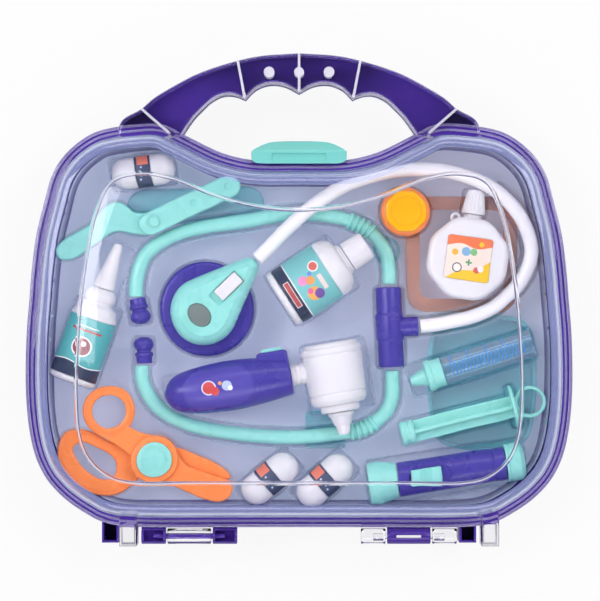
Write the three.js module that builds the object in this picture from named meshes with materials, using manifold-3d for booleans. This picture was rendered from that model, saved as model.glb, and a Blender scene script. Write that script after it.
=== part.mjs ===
// A toy doctor case lying flat on its rear cover, in millimetres.
// +Z points out of the clear front cover, +Y towards the carrying handle, +X to the right.
// Two half shells of one moulding, the rear one turned half a turn, hinge at the foot edge.
import * as THREE from 'three';
import { mergeVertices } from 'three/addons/utils/BufferGeometryUtils.js';
import Module from 'manifold-3d';

// Driving sizes of the case
const caseWidth = 290;
const shellDepth = 34;
const wall = 1.8;
const panelStep = 1.5;
const flangeThickness = 2.2;
const flangeWidth = 5.2;
const wallDraft = 1.5;
const edgeRadius = 6;
const panelDraft = 1;
const handleDepth = 11;
const handleRib = 1.3;
const handleBossRadius = 2.8;
const clearance = 0.3;
const overrun = 1;
const quarterTurn = 90;

// Hinges and feet
const hingeReach = 4.84;
const hingeSpreadShare = 0.2007;
const knuckleRadius = 4.2;
const wideKnuckle = 23;
const sideKnuckle = 13;
const knuckleGap = 0.9;
const hingePinRadius = 1.5;
const knuckleSlot = 1.5;
const footWidth = 9;
const footDepth = 24;
const footWall = 1.2;
const footReach = 3.6;
const footInnerShare = 0.309;
const footOuterShare = 0.3455;
const footRise = 23;

// Latch
const latchWidth = 50.4;
const latchLipThickness = 3.2;
const latchSpine = 4.2;
const latchCrown = 4.6;
const latchPivotDrop = 7;
const latchPinRadius = 1.3;
const latchEarRadius = 3;
const latchEarWidth = 16;
const latchHook = 2.4;
const latchRecess = 1;

// Tray and card
const trayWall = 1;
const trayInset = 6.2;
const trayDraft = 1;
const trayDrop = 4;
const trayLevel = shellDepth - trayDrop;
const cardInset = 10;
const cardThickness = 0.6;
const pocketMargin = 1;

// Toys
const earTubeRadius = 3.8;
const chestTubeRadius = 3.8;
const ribRise = 1;
const ribPitch = 3;
const ribCount = 5;
const upperRibStart = 31;
const lowerRibLead = 43.5;
const earTipRadius = 5.6;
const earStemRadius = 4.2;
const earStemLength = 8.5;
const earTipLength = 14;
const connectorRadius = 6.9;
const connectorNeckRadius = 5.2;
const connectorLength = 42.5;
const connectorBulge = 12.5;
const connectorBulgeRadius = 7.6;
const connectorStub = 8.5;
const discRadius = 25.2;
const discHeight = 9;
const domeRadius = 18;
const domeHeight = 10;
const neckRadius = 5.4;
const neckLength = 37;
const sliderLength = 15.2;
const sliderWidth = 7.2;
const sliderHeight = 3;
const sliderTravel = 3;
const windowLength = 13.3;
const windowWidth = 10.6;
const windowHeight = 1.2;
const scopeGripLength = 68;
const scopeGripRadius = 13.2;
const scopeNeckRadius = 5.6;
const scopeHeadRadius = 16;
const scopeHeadLength = 33;
const scopeRingRadius = 14;
const scopeShoulderRadius = 10.5;
const coneLength = 12;
const coneRadius = 6.8;
const coneTipRadius = 3;
const badgeLength = 37;
const badgeWidth = 20;
const badgeThickness = 0.8;
const scopeButtonLength = 11.4;
const scopeButtonWidth = 6;
const scopeButtonHeight = 2.9;
const scopeHousingRise = 1.3;
const buttonTravel = 1;
const pillBottleRadius = 15.8;
const pillBottleLength = 35.5;
const pillNeckRadius = 7.6;
const pillNeckLength = 2.4;
const pillSpoutRadius = 5.4;
const spoutLength = 6;
const pillCapRadius = 8;
const pillCapLength = 12.2;
const labelThickness = 0.5;
const pillLabelLength = 25;
const dropsRadius = 12.3;
const dropsLength = 40;
const dropsShoulder = 10.8;
const dropsBulbRadius = 7.8;
const nozzleLength = 25;
const nozzleRadius = 5.8;
const nozzleTipRadius = 2.3;
const dropsLabelLength = 32;
const flatBottleWidth = 43.5;
const flatBottleThickness = 20;
const flatCapRadius = 6.2;
const flatCapLength = 12.8;
const flatNeckRadius = 4.8;
const flatSpoutRadius = 3.4;
const flatLabelWidth = 24.5;
const flatLabelHeight = 23;
const ringTabRadius = 2.4;
const lotionRadius = 12.9;
const lotionHeight = 18;
const lotionSpoutRadius = 5;
const yellowCapRadius = 11;
const yellowCapHeight = 8;
const yellowCapDimple = 1;
const capsuleRadius = 8.4;
const capsuleLength = 34;
const capsuleBandWidth = 8;
const bladeThickness = 3.6;
const scissorRingRadius = 13.6;
const scissorRingHole = 9.8;
const hubRadius = 12.7;
const hubRise = 2.4;
const hubCapRadius = 9.4;
const hubCapRise = 1.2;
const rivetRadius = 3;
const forcepsThickness = 5;
const forcepsArmRadius = 6.1;
const forcepsRivetRadius = 1.8;
const torchRadius = 9.2;
const torchHeadRadius = 11.6;
const torchHeadLength = 15.5;
const torchBodyLength = 58;
const torchTailRadius = 10.2;
const torchTailLength = 10;
const torchSwitchLength = 16.5;
const torchSwitchWidth = 9;
const torchSwitchHeight = 3.2;
const torchTravel = 4;
const barrelRadius = 7.5;
const barrelWall = 1;
const barrelLength = 50;
const syringeCollarLength = 8.5;
const syringeTipRadius = 3.2;
const syringeTipLength = 10;
const plungerHeadRadius = 6.7;
const plungerHeadLength = 7.4;
const plungerRodWidth = 11.6;
const plungerRodLength = 54;
const plungerFin = 2;
const plungerFlangeRadius = 11.5;
const plungerFlangeThickness = 1.8;
const plungerRingRadius = 8.6;
const plungerRingHole = 7.1;
const rearToyGap = 2.5;
const rearToyWall = 2;
const rearHoopRadius = 7.5;
const rearLeverRadius = 9.5;
const rearFrameWidth = 60;
const rearFrameLength = 62;
const rearFrameRim = 7;
const rearFrameCorner = 14;

// Outlines and places, as shares of the case width from the middle of the case
const rimHalfShares = [
  [0, -0.4154], [0.1482, -0.4154], [0.2763, -0.4154], [0.3285, -0.4126], [0.3623, -0.4044],
  [0.3916, -0.3888], [0.4218, -0.3687], [0.4437, -0.3486], [0.4629, -0.3248], [0.4794, -0.2928],
  [0.4895, -0.258], [0.4959, -0.2159], [0.4995, -0.1683], [0.5001, -0.1098], [0.4977, -0.0549],
  [0.4931, 0], [0.4886, 0.0549], [0.4803, 0.1189], [0.4657, 0.1782], [0.452, 0.2269], [0.4337, 0.2587],
  [0.4062, 0.2864], [0.3751, 0.3056], [0.3422, 0.3147], [0.3001, 0.3202], [0.2635, 0.322],
  [0.2397, 0.3175], [0.2196, 0.3074], [0.194, 0.2937], [0.1409, 0.269], [0.0878, 0.2562], [0, 0.2543],
];
const panelHalfShares = [
  [0, -0.3312], [0.1848, -0.3312], [0.2983, -0.3312], [0.3385, -0.3211], [0.376, -0.2909],
  [0.3952, -0.2489], [0.4026, -0.1647], [0.3989, -0.064], [0.3916, 0.0183], [0.3806, 0.0915],
  [0.366, 0.1574], [0.3367, 0.2141], [0.2855, 0.2287], [0.2251, 0.2196], [0.1519, 0.1903],
  [0.075, 0.1702], [0, 0.1638],
];
const handleOuterHalfShares = [
  [0.3312, 0.2983], [0.323, 0.3257], [0.2873, 0.3477], [0.2653, 0.3669], [0.2306, 0.3879],
  [0.1848, 0.4117], [0.1263, 0.4318], [0.0732, 0.4437], [0, 0.4492],
];
const handleInnerHalfShares = {
  root: [0.2141, 0.2983],
  bend: [0.1903, 0.3312],
  shoulder: [0.1775, 0.3458],
  cusp: [0.0979, 0.3651],
  outerArch: [0.1427, 0.3843],
  centre: [0, 0.3769],
  innerArch: [0.0512, 0.4099],
  rootOuter: [0.3092, 0.2855],
};
const handleRibShares = [
  [[0, 0.4575], [0, 0.366]],
  [[0.1125, 0.4392], [0.097, 0.3586]],
  [[-0.1125, 0.4392], [-0.097, 0.3586]],
  [[0.2909, 0.3513], [0.236, 0.3038]],
  [[-0.2909, 0.3513], [-0.236, 0.3038]],
];
const bossSpreadShare = 0.0545;
const bossHeightShare = 0.4145;
const latchPlanShares = [
  [0, 1], [0.32, 0.99], [0.63, 0.93], [0.86, 0.74], [1, 0.53], [1, 0.27], [0.93, 0.08], [0.64, 0],
  [0, 0],
];
const recessWidthShare = 0.58;
const latchTopShare = 0.2569;
const capsulePlaces = [
  { centreShare: [-0.2855, 0.2351], turn: 8 },
  { centreShare: [-0.0545, -0.3275], turn: 40 },
  { centreShare: [0.0457, -0.3312], turn: 42 },
];
const dropsBottomShare = [-0.4177, -0.1482];
const dropsTurn = 70.7;
const chestDiscShare = [-0.1702, -0.0165];
const chestTurn = 45;
const scopeEndShare = [-0.247, -0.1766];
const scopeTurn = 9.6;
const pillBottomShare = [-0.0348, -0.0009];
const pillTurn = 32.7;
const flatBottleShare = [0.3074, 0.075];
const flatBottleTurn = -8;
const lotionShare = [0.194, 0.161];
const torchShare = [0.1263, -0.3376];
const torchTurn = 8.9;
const barrelShare = [0.2342, -0.14];
const barrelTurn = 17.5;
const plungerShare = [0.1839, -0.2461];
const plungerTurn = 14;
const connectorShare = [0.164, -0.0503];
const connectorTurn = -88.5;
const ringCentreShare = [-0.3495, -0.2022];
const hubShare = [-0.2653, -0.2909];
const gripShares = [
  [0, 0], [0.006, 0.2], [0.044, 0.5], [0.1, 0.72], [0.22, 0.88], [0.44, 1], [0.62, 1], [0.85, 0.87],
  [0.97, 0.77], [1, 0.7], [1, 0],
];
const loopOuterShares = [
  [-0.4044, -0.236], [-0.43, -0.2434], [-0.4428, -0.2745], [-0.4373, -0.3074], [-0.409, -0.3403],
  [-0.3705, -0.3577], [-0.3385, -0.3577], [-0.3092, -0.3422], [-0.2873, -0.3184], [-0.2909, -0.2964],
  [-0.3129, -0.2726], [-0.3532, -0.2543], [-0.3824, -0.2397],
];
const loopHoleShares = [
  [-0.4154, -0.2726], [-0.4007, -0.2608], [-0.3705, -0.2699], [-0.3458, -0.2827], [-0.3349, -0.3019],
  [-0.3403, -0.3239], [-0.3586, -0.3294], [-0.3879, -0.3166], [-0.409, -0.2928],
];
const rearBladeShares = [
  [-0.2726, -0.2672], [-0.2214, -0.2708], [-0.161, -0.2946], [-0.1317, -0.3129], [-0.1226, -0.3294],
  [-0.1555, -0.3275], [-0.2543, -0.3038],
];
const frontBladeShares = [
  [-0.2324, -0.2672], [-0.2068, -0.3038], [-0.1299, -0.3294], [-0.1189, -0.3367], [-0.1263, -0.3623],
  [-0.1464, -0.3715], [-0.1775, -0.3641], [-0.2543, -0.3294],
];
const ringNeckShares = [
  [-0.3166, -0.2269], [-0.2983, -0.2397], [-0.2543, -0.2507], [-0.28, -0.3147], [-0.3019, -0.2891],
  [-0.3458, -0.2562], [-0.3788, -0.2397],
];
const forcepsPivotShare = [-0.2657, 0.142];
const upperArmEndShare = [-0.1281, 0.2086];
const lowerArmShares = [
  [-0.4465, 0.0915], [-0.4355, 0.108], [-0.3769, 0.1464], [-0.3532, 0.1738], [-0.3349, 0.1802],
  [-0.3202, 0.1747], [-0.3038, 0.161], [-0.2873, 0.1592], [-0.2672, 0.1592], [-0.2489, 0.1427],
  [-0.258, 0.1244], [-0.28, 0.118], [-0.3056, 0.1208], [-0.3367, 0.1253], [-0.3788, 0.0997],
  [-0.419, 0.075], [-0.4392, 0.075],
];
const upperEarPath = [
  [0.1638, 0.0284], [0.1638, 0.0549], [0.1592, 0.0842], [0.1482, 0.1052], [0.1299, 0.1253],
  [0.1098, 0.1372], [0.086, 0.1473], [0.0531, 0.1546], [0.0183, 0.1577], [-0.0201, 0.1565],
  [-0.0567, 0.1522], [-0.0897, 0.1464], [-0.1263, 0.1418], [-0.161, 0.1363], [-0.2123, 0.1244],
  [-0.2507, 0.108], [-0.28, 0.086], [-0.2946, 0.0604], [-0.301, 0.0311], [-0.3019, 0.0046],
];
const lowerEarPath = [
  [-0.2917, -0.1217], [-0.2913, -0.1427], [-0.2827, -0.1683], [-0.2653, -0.193], [-0.2379, -0.2141],
  [-0.2031, -0.2287], [-0.161, -0.2388], [-0.108, -0.2461], [-0.0549, -0.2507], [-0.0037, -0.2516],
  [0.0421, -0.2479], [0.0851, -0.2425], [0.1043, -0.2397], [0.1244, -0.2315], [0.1446, -0.2168],
  [0.1592, -0.1995], [0.1661, -0.1775], [0.1665, -0.1574], [0.1665, -0.1299],
];
const chestPath = [
  [-0.0778, 0.0759], [-0.0586, 0.0942], [-0.0366, 0.1162], [-0.0165, 0.1354], [0.0183, 0.1665],
  [0.0531, 0.1921], [0.0878, 0.2113], [0.1235, 0.2242], [0.1592, 0.2333], [0.194, 0.2379],
  [0.2287, 0.2388], [0.2635, 0.236], [0.2983, 0.2278], [0.333, 0.215], [0.3623, 0.1976],
  [0.3861, 0.1766], [0.4071, 0.1482], [0.4199, 0.1189], [0.4254, 0.0915], [0.4199, 0.0622],
  [0.4062, 0.0348], [0.3833, 0.0091], [0.3522, -0.0146], [0.3166, -0.0302], [0.2811, -0.0393],
  [0.2461, -0.0463], [0.2205, -0.0487],
];
const upperEarTipShare = [-0.3001, 0.0018];
const lowerEarTipShare = [-0.2873, -0.118];
const dishShares = [
  [0.2434, -0.064], [0.2726, -0.0329], [0.4044, -0.0329], [0.43, -0.0586], [0.43, -0.2415],
  [0.4044, -0.2708], [0.2708, -0.2708], [0.2434, -0.2452],
];
const rearBoxShares = [[0.0091, -0.2049], [0.0823, -0.2049], [0.0823, -0.2745], [0.0091, -0.2745]];
const rearBarShares = [[-0.2873, 0.1702], [-0.097, 0.1775]];
const rearHoopShare = [0.161, 0.0915];
const rearFrameShare = [0.3001, 0.0842];

// Levels above the rear face
const partingLevel = shellDepth;
const floorLevel = panelStep + wall;
const faceLevel = shellDepth - panelStep;
const flangeEdge = latchTopShare * caseWidth;
const rimDrop = -rimHalfShares[0][1] * caseWidth;
const handleTop = handleOuterHalfShares.at(-1)[1] * caseWidth;
const hingeDrop = rimDrop + hingeReach;
const hingeSpread = hingeSpreadShare * caseWidth;
const footEnd = hingeDrop + footReach;

// Materials
const plastic = (color, roughness = 0.35, extra = {}) =>
  new THREE.MeshStandardMaterial({ color, roughness, metalness: 0, ...extra });
const clearCover = plastic('#dfe4f2', 0.08, { transparent: true, opacity: 0.25 });
const clearTray = plastic('#b9c6dd', 0.12, { transparent: true, opacity: 0.4 });
const clearBarrel = plastic('#9fd8e6', 0.12, { transparent: true, opacity: 0.6 });
const purple = plastic('#50329a');
const mint = plastic('#a0ebe1');
const teal = plastic('#3fb5ac');
const orange = plastic('#ff9b5a');
const yellow = plastic('#ffb900');
const white = plastic('#ecebee');
const grey = plastic('#8a8f98');
const paper = plastic('#b7b4cf', 0.8);
const navyLabel = plastic('#3a4a63', 0.5);
const tealLabel = plastic('#2f9aa6', 0.5);
const paleLabel = plastic('#e9ddc6', 0.5);

// Solids by the boolean library
const wasm = await Module();
wasm.setup();

function solidOf(geometry) {
  const bare = geometry.clone();
  bare.deleteAttribute('normal');
  bare.deleteAttribute('uv');
  const merged = mergeVertices(bare, 1e-4);
  const index = merged.index.array;
  const corners = [];
  for (let i = 0; i < index.length; i += 3) {
    const [a, b, c] = [index[i], index[i + 1], index[i + 2]];
    if (a !== b && b !== c && c !== a) corners.push(a, b, c);
  }
  const place = merged.attributes.position.array;
  if (signedVolume(place, corners) < 0) corners.reverse();
  return new wasm.Manifold(new wasm.Mesh({
    numProp: 3,
    vertProperties: new Float32Array(place),
    triVerts: new Uint32Array(corners),
  }));
}

function signedVolume(place, corners) {
  const [a, b, c] = [new THREE.Vector3(), new THREE.Vector3(), new THREE.Vector3()];
  let volume = 0;
  for (let i = 0; i < corners.length; i += 3) {
    a.fromArray(place, corners[i] * 3);
    b.fromArray(place, corners[i + 1] * 3);
    c.fromArray(place, corners[i + 2] * 3);
    volume += a.dot(b.cross(c));
  }
  return volume;
}

function geometryOf(solid) {
  const mesh = solid.getMesh();
  const geometry = new THREE.BufferGeometry();
  geometry.setAttribute('position', new THREE.BufferAttribute(new Float32Array(mesh.vertProperties), 3));
  geometry.setIndex(new THREE.BufferAttribute(new Uint32Array(mesh.triVerts), 1));
  geometry.computeVertexNormals();
  return geometry;
}

const join = (...solids) => solids.reduce((whole, next) => whole.add(next));
const cut = (solid, ...tools) => tools.reduce((whole, tool) => whole.subtract(tool), solid);

// Outlines
const at = ([x, y]) => new THREE.Vector2(x * caseWidth, y * caseWidth);
const mirrored = (points) => [
  ...points,
  ...points.slice(1, -1).reverse().map((p) => new THREE.Vector2(-p.x, p.y)),
];

function smoothLoop(points, count) {
  const curve = new THREE.CatmullRomCurve3(points.map((p) => new THREE.Vector3(p.x, p.y, 0)), true);
  return curve.getPoints(count).slice(0, -1).map((p) => new THREE.Vector2(p.x, p.y));
}

function smoothLine(points, count) {
  return new THREE.SplineCurve(points).getPoints(count);
}

// A closed outline moved inwards by a distance, with mitred corners.
function inset(outline, distance) {
  const count = outline.length;
  const turn = THREE.ShapeUtils.area(outline) > 0 ? 1 : -1;
  return outline.map((point, i) => {
    const before = point.clone().sub(outline[(i + count - 1) % count]).normalize();
    const after = outline[(i + 1) % count].clone().sub(point).normalize();
    const normal = new THREE.Vector2(-before.y - after.y, before.x + after.x).normalize();
    const spread = Math.max(0.5, Math.abs(normal.dot(new THREE.Vector2(-after.y, after.x))));
    return point.clone().addScaledVector(normal, turn * distance / spread);
  });
}

function circle(centre, radius, sides) {
  return Array.from({ length: sides }, (_, i) => {
    const angle = 2 * Math.PI * i / sides;
    return new THREE.Vector2(centre.x + radius * Math.cos(angle), centre.y + radius * Math.sin(angle));
  });
}

function stadium(from, to, radius, steps = 6, endRadius = radius) {
  const heading = Math.atan2(to.y - from.y, to.x - from.x);
  const arc = (centre, size, start) => Array.from({ length: steps + 1 }, (_, i) => {
    const angle = start + Math.PI * i / steps;
    return new THREE.Vector2(centre.x + size * Math.cos(angle), centre.y + size * Math.sin(angle));
  });
  return [...arc(to, endRadius, heading - Math.PI / 2), ...arc(from, radius, heading + Math.PI / 2)];
}

function box(left, bottom, right, top) {
  const corners = [[left, bottom], [right, bottom], [right, top], [left, top]];
  return corners.map(([x, y]) => new THREE.Vector2(x, y));
}

function roundedBox(length, width, radius, steps = 3) {
  const outline = [];
  for (const [sx, sy, start] of [[1, 1, 0], [-1, 1, 1], [-1, -1, 2], [1, -1, 3]]) {
    for (let i = 0; i <= steps; i += 1) {
      const angle = (start + i / steps) * Math.PI / 2;
      outline.push(new THREE.Vector2(
        sx * (length / 2 - radius) + radius * Math.cos(angle),
        sy * (width / 2 - radius) + radius * Math.sin(angle),
      ));
    }
  }
  return outline;
}

function ribbon(path, radius, samples, reach) {
  const smooth = smoothLine(path, samples);
  const beyond = (end, inner) => end.clone().add(end.clone().sub(inner).setLength(reach));
  const line = [beyond(smooth[0], smooth[1]), ...smooth, beyond(smooth.at(-1), smooth.at(-2))];
  const side = (sign) => line.map((point, i) => {
    const along = line[Math.min(i + 1, line.length - 1)].clone().sub(line[Math.max(i - 1, 0)]).normalize();
    return new THREE.Vector2(point.x - sign * radius * along.y, point.y + sign * radius * along.x);
  });
  return [...side(-1), ...side(1).reverse()];
}

// Solids from outlines
function prism(outline, bottom, top, bevel = 0, holes = []) {
  const shape = new THREE.Shape(outline);
  shape.holes = holes.map((hole) => new THREE.Path(hole));
  const geometry = new THREE.ExtrudeGeometry(shape, {
    depth: top - bottom - 2 * bevel,
    bevelEnabled: bevel > 0,
    bevelThickness: bevel,
    bevelSize: bevel,
    bevelOffset: -bevel,
    bevelSegments: 1,
    steps: 1,
  });
  geometry.translate(0, 0, bottom + bevel);
  return solidOf(geometry);
}

// A closed skin over a stack of rings that all have the same number of points.
function loft(rings) {
  const count = rings[0].length;
  const vertices = rings.flat().flatMap((p) => [p.x, p.y, p.z]);
  const index = [];
  for (let r = 0; r + 1 < rings.length; r += 1) {
    for (let i = 0; i < count; i += 1) {
      const j = (i + 1) % count;
      const [a, b, c, d] = [r * count + i, r * count + j, (r + 1) * count + j, (r + 1) * count + i];
      index.push(a, b, c, a, c, d);
    }
  }
  const last = (rings.length - 1) * count;
  for (const [start, flip] of [[0, true], [last, false]]) {
    const ring = rings[start / count];
    const faces = THREE.ShapeUtils.triangulateShape(flatten(ring), []);
    for (const [a, b, c] of faces) {
      if (flip) index.push(start + c, start + b, start + a);
      else index.push(start + a, start + b, start + c);
    }
  }
  const geometry = new THREE.BufferGeometry();
  geometry.setAttribute('position', new THREE.Float32BufferAttribute(vertices, 3));
  geometry.setIndex(index);
  return solidOf(geometry);
}

// Points of a plane ring in that plane's own axes, turned so that the skin's order counts as left-handed.
function flatten(ring) {
  const normal = new THREE.Vector3();
  ring.forEach((p, i) => normal.add(p.clone().cross(ring[(i + 1) % ring.length])));
  normal.normalize();
  const across = ring[1].clone().sub(ring[0]).normalize();
  const up = normal.clone().cross(across);
  return ring.map((p) => new THREE.Vector2(p.dot(across), p.dot(up)));
}

const level = (outline, z) => outline.map((p) => new THREE.Vector3(p.x, p.y, z));

// A turned piece: profile points are [distance along +X, radius].
function turned(profile, sides) {
  const upright = profile.map(([along, radius]) => new THREE.Vector2(radius, along));
  const geometry = new THREE.LatheGeometry(upright, sides);
  geometry.rotateZ(-Math.PI / 2);
  return solidOf(geometry);
}

// A rod along X.
const rod = (from, to, radius, sides = 16) => turned(
  [[from, 0], [from, radius], [to, radius], [to, 0]],
  sides,
);

// A round-ended body along X.
function pill(from, to, radius, sides = 16, steps = 4) {
  const profile = [];
  for (let i = 0; i <= steps; i += 1) {
    const angle = Math.PI / 2 * i / steps;
    profile.push([from + radius - radius * Math.cos(angle), i === 0 ? 0 : radius * Math.sin(angle)]);
  }
  for (let i = steps; i >= 0; i -= 1) {
    const angle = Math.PI / 2 * i / steps;
    profile.push([to - radius + radius * Math.cos(angle), i === 0 ? 0 : radius * Math.sin(angle)]);
  }
  return turned(profile, sides);
}

// One rib's profile: share of the pitch along, and rise.
const ribSteps = [[0, 0], [0.2, ribRise], [0.55, ribRise], [0.75, 0]];

// A bent tube through points; swell adds to the radius by the distance along.
function bentTube(points, radius, steps, sides, swell = []) {
  const curve = new THREE.CatmullRomCurve3(points);
  const length = curve.getLength();
  const stations = Array.from({ length: steps + 1 }, (_, i) => [length * i / steps, 0]);
  const ribbed = (s) => swell.some(([from, to]) => s > from - ribPitch / 2 && s < to + ribPitch / 2);
  const plain = stations.filter(([s]) => !ribbed(s));
  for (const [from, to] of swell) {
    for (let s = from; s < to - ribPitch / 4; s += ribPitch) {
      for (const [share, rise] of ribSteps) plain.push([s + ribPitch * share, rise]);
    }
  }
  plain.sort((a, b) => a[0] - b[0]);
  const rings = plain.map(([s, rise]) => {
    const t = Math.min(1, s / length);
    const centre = curve.getPointAt(t);
    const along = curve.getTangentAt(t);
    const side = new THREE.Vector3(along.y, -along.x, 0).normalize();
    const up = side.clone().cross(along);
    return Array.from({ length: sides }, (_, i) => {
      const angle = 2 * Math.PI * (i + 0.5) / sides;
      return centre.clone()
        .addScaledVector(side, (radius + rise) * Math.cos(angle))
        .addScaledVector(up, (radius + rise) * Math.sin(angle));
    });
  });
  return loft(rings);
}

// The scene graph
const model = new THREE.Group();

function addPiece(name, solid, material, parent = model) {
  const mesh = new THREE.Mesh(geometryOf(solid), material);
  mesh.name = name;
  parent.add(mesh);
  return mesh;
}

function group(place, height, degrees, parent = model) {
  const holder = new THREE.Group();
  holder.position.set(place.x, place.y, height);
  holder.rotation.z = THREE.MathUtils.degToRad(degrees);
  parent.add(holder);
  return holder;
}

// One half shell, its parting plane at z = 0 and its face upwards
const rimOutline = smoothLoop(mirrored(rimHalfShares.map(at)), 52);
const wallOutline = inset(rimOutline, flangeWidth);
const panelOutline = smoothLoop(mirrored(panelHalfShares.map(at)), 30);

// Insets and heights of the rounded edge between side wall and face.
function edgeSteps(radius, wallInset, top, steps) {
  return Array.from({ length: steps + 1 }, (_, i) => {
    const angle = Math.PI / 2 * i / steps;
    return [wallInset + radius * (1 - Math.cos(angle)), top - radius + radius * Math.sin(angle)];
  });
}

const stackOf = (outline, steps) => loft(steps.map(([step, z]) => level(inset(outline, step), z)));
const shellBase = clearance / 2;

const bodyOuter = stackOf(wallOutline, [
  [-flangeWidth, shellBase],
  [-flangeWidth, flangeThickness],
  [0, flangeThickness + clearance],
  ...edgeSteps(edgeRadius, wallDraft, faceLevel, 2),
]);
const bodyInner = stackOf(wallOutline, [
  [wall, -overrun],
  ...edgeSteps(edgeRadius - wall, wallDraft + wall, faceLevel - wall, 2),
]);
const panelOuter = stackOf(
  panelOutline,
  [[0, faceLevel - wall / 2], [0, faceLevel], [panelDraft, shellDepth]],
);
const panelInner = stackOf(panelOutline, [
  [wall, faceLevel - wall - overrun],
  [wall + panelDraft, shellDepth - wall],
]);

function arch(from, crest, to, steps) {
  return new THREE.QuadraticBezierCurve(from, crest, to).getPoints(steps);
}

// The handle's outline: finger arches below, one smooth bow above, both ends inside the body's corners.
function handleOutline() {
  const { root, bend, shoulder, cusp, outerArch, centre, innerArch, rootOuter } = Object.fromEntries(
    Object.entries(handleInnerHalfShares).map(([key, share]) => [key, at(share)]),
  );
  const right = [
    ...arch(centre, innerArch, cusp, 5),
    ...arch(cusp, outerArch, shoulder, 5).slice(1),
    ...arch(shoulder, bend, root, 3).slice(1),
    rootOuter,
    ...smoothLine(handleOuterHalfShares.map(at), 11),
  ];
  return [...right, ...right.slice(1, -1).reverse().map((p) => new THREE.Vector2(-p.x, p.y))];
}

const handleLine = handleOutline();
const handleOuter = prism(handleLine, shellBase, handleDepth, wall);
const handleChannel = prism(inset(handleLine, wall), -overrun, handleDepth - wall)
  .subtract(prism(inset(rimOutline, wall), -overrun - clearance, handleDepth));

function bar(from, to, width, bottom, top) {
  const side = to.clone().sub(from).normalize().multiplyScalar(width / 2);
  const across = new THREE.Vector2(-side.y, side.x);
  return prism(
    [from.clone().sub(across), to.clone().sub(across), to.clone().add(across), from.clone().add(across)],
    bottom,
    top,
  );
}

const handleRibs = handleRibShares.map(([from, to]) => (
  bar(at(from), at(to), handleRib, shellBase, handleDepth)
));
const bossPlaces = [-1, 1].map((side) => new THREE.Vector2(side * bossSpreadShare, bossHeightShare)
  .multiplyScalar(caseWidth));
const handleBosses = bossPlaces.map((p) => prism(circle(p, handleBossRadius, 10), shellBase, handleDepth));

// A rod along X at the hinge line.
const hingeRod = (from, to, radius, sides = 12) => rod(from, to, radius, sides).translate([0, -hingeDrop, 0]);

function knuckle(middle, width) {
  const half = width / 2;
  const arm = prism(box(middle - half, -hingeDrop, middle + half, wall - rimDrop), shellBase, knuckleRadius);
  return join(hingeRod(middle - half, middle + half, knuckleRadius), arm);
}

function foot(middle) {
  const half = footWidth / 2;
  const outline = box(middle - half, -footEnd, middle + half, footRise - footEnd);
  const outer = prism(outline, shellBase, footDepth, footWall / 2);
  const hollow = prism(
    box(middle - half + footWall, footWall - footEnd, middle + half - footWall, footRise / 2 - footEnd),
    -overrun,
    footDepth - footWall,
  );
  return { outer, hollow };
}

// The hinge's wide knuckle is on the left and its pin, between two narrow knuckles, on the right.
const pairSpread = (wideKnuckle + sideKnuckle) / 2 + knuckleGap;
const pinKnuckles = [-1, 1].map((side) => knuckle(hingeSpread + side * pairSpread, sideKnuckle));
const hingePin = hingeRod(hingeSpread - pairSpread, hingeSpread + pairSpread, hingePinRadius, 10);
const pinRoom = hingeRod(
  -hingeSpread - wideKnuckle,
  -hingeSpread + wideKnuckle,
  hingePinRadius + clearance,
  10,
);
const pinWindow = prism(
  box(
    -hingeSpread - wideKnuckle / 4,
    -hingeDrop - knuckleSlot / 2,
    -hingeSpread + wideKnuckle / 4,
    -hingeDrop + knuckleSlot / 2,
  ),
  0,
  knuckleRadius + overrun,
);
const feet = [foot(-footInnerShare * caseWidth), foot(footOuterShare * caseWidth)];

const plainShell = cut(
  join(
    bodyOuter,
    panelOuter,
    cut(handleOuter, handleChannel),
    ...handleRibs.map((rib) => rib.intersect(handleOuter)),
    ...handleBosses,
    cut(knuckle(-hingeSpread, wideKnuckle), pinRoom, pinWindow),
    ...pinKnuckles,
    hingePin,
    ...feet.map(({ outer, hollow }) => cut(outer, hollow)),
  ),
  bodyInner,
  panelInner,
);

// Latch: a clip on a pin at the top edge of the rear shell, its lip over a notch in the front shell
const latchInner = flangeEdge + clearance;
const latchNotch = flangeEdge - latchHook;
const latchPivot = { y: latchInner + latchSpine / 2 + clearance, z: -latchPivotDrop };
const latchHalf = latchWidth / 2;
const lipTop = flangeThickness + clearance + latchLipThickness;
const notch = prism(
  box(-latchHalf - clearance, latchNotch - clearance, latchHalf + clearance, flangeEdge + overrun),
  -overrun,
  flangeThickness + overrun,
);

// An outline of (y, z) points drawn out along X.
function acrossX(outline, from, to) {
  const shape = new THREE.Shape(outline);
  const geometry = new THREE.ExtrudeGeometry(shape, { depth: to - from, bevelEnabled: false });
  geometry.rotateX(Math.PI / 2);
  geometry.rotateZ(Math.PI / 2);
  geometry.translate(from, 0, 0);
  return solidOf(geometry);
}

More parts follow.
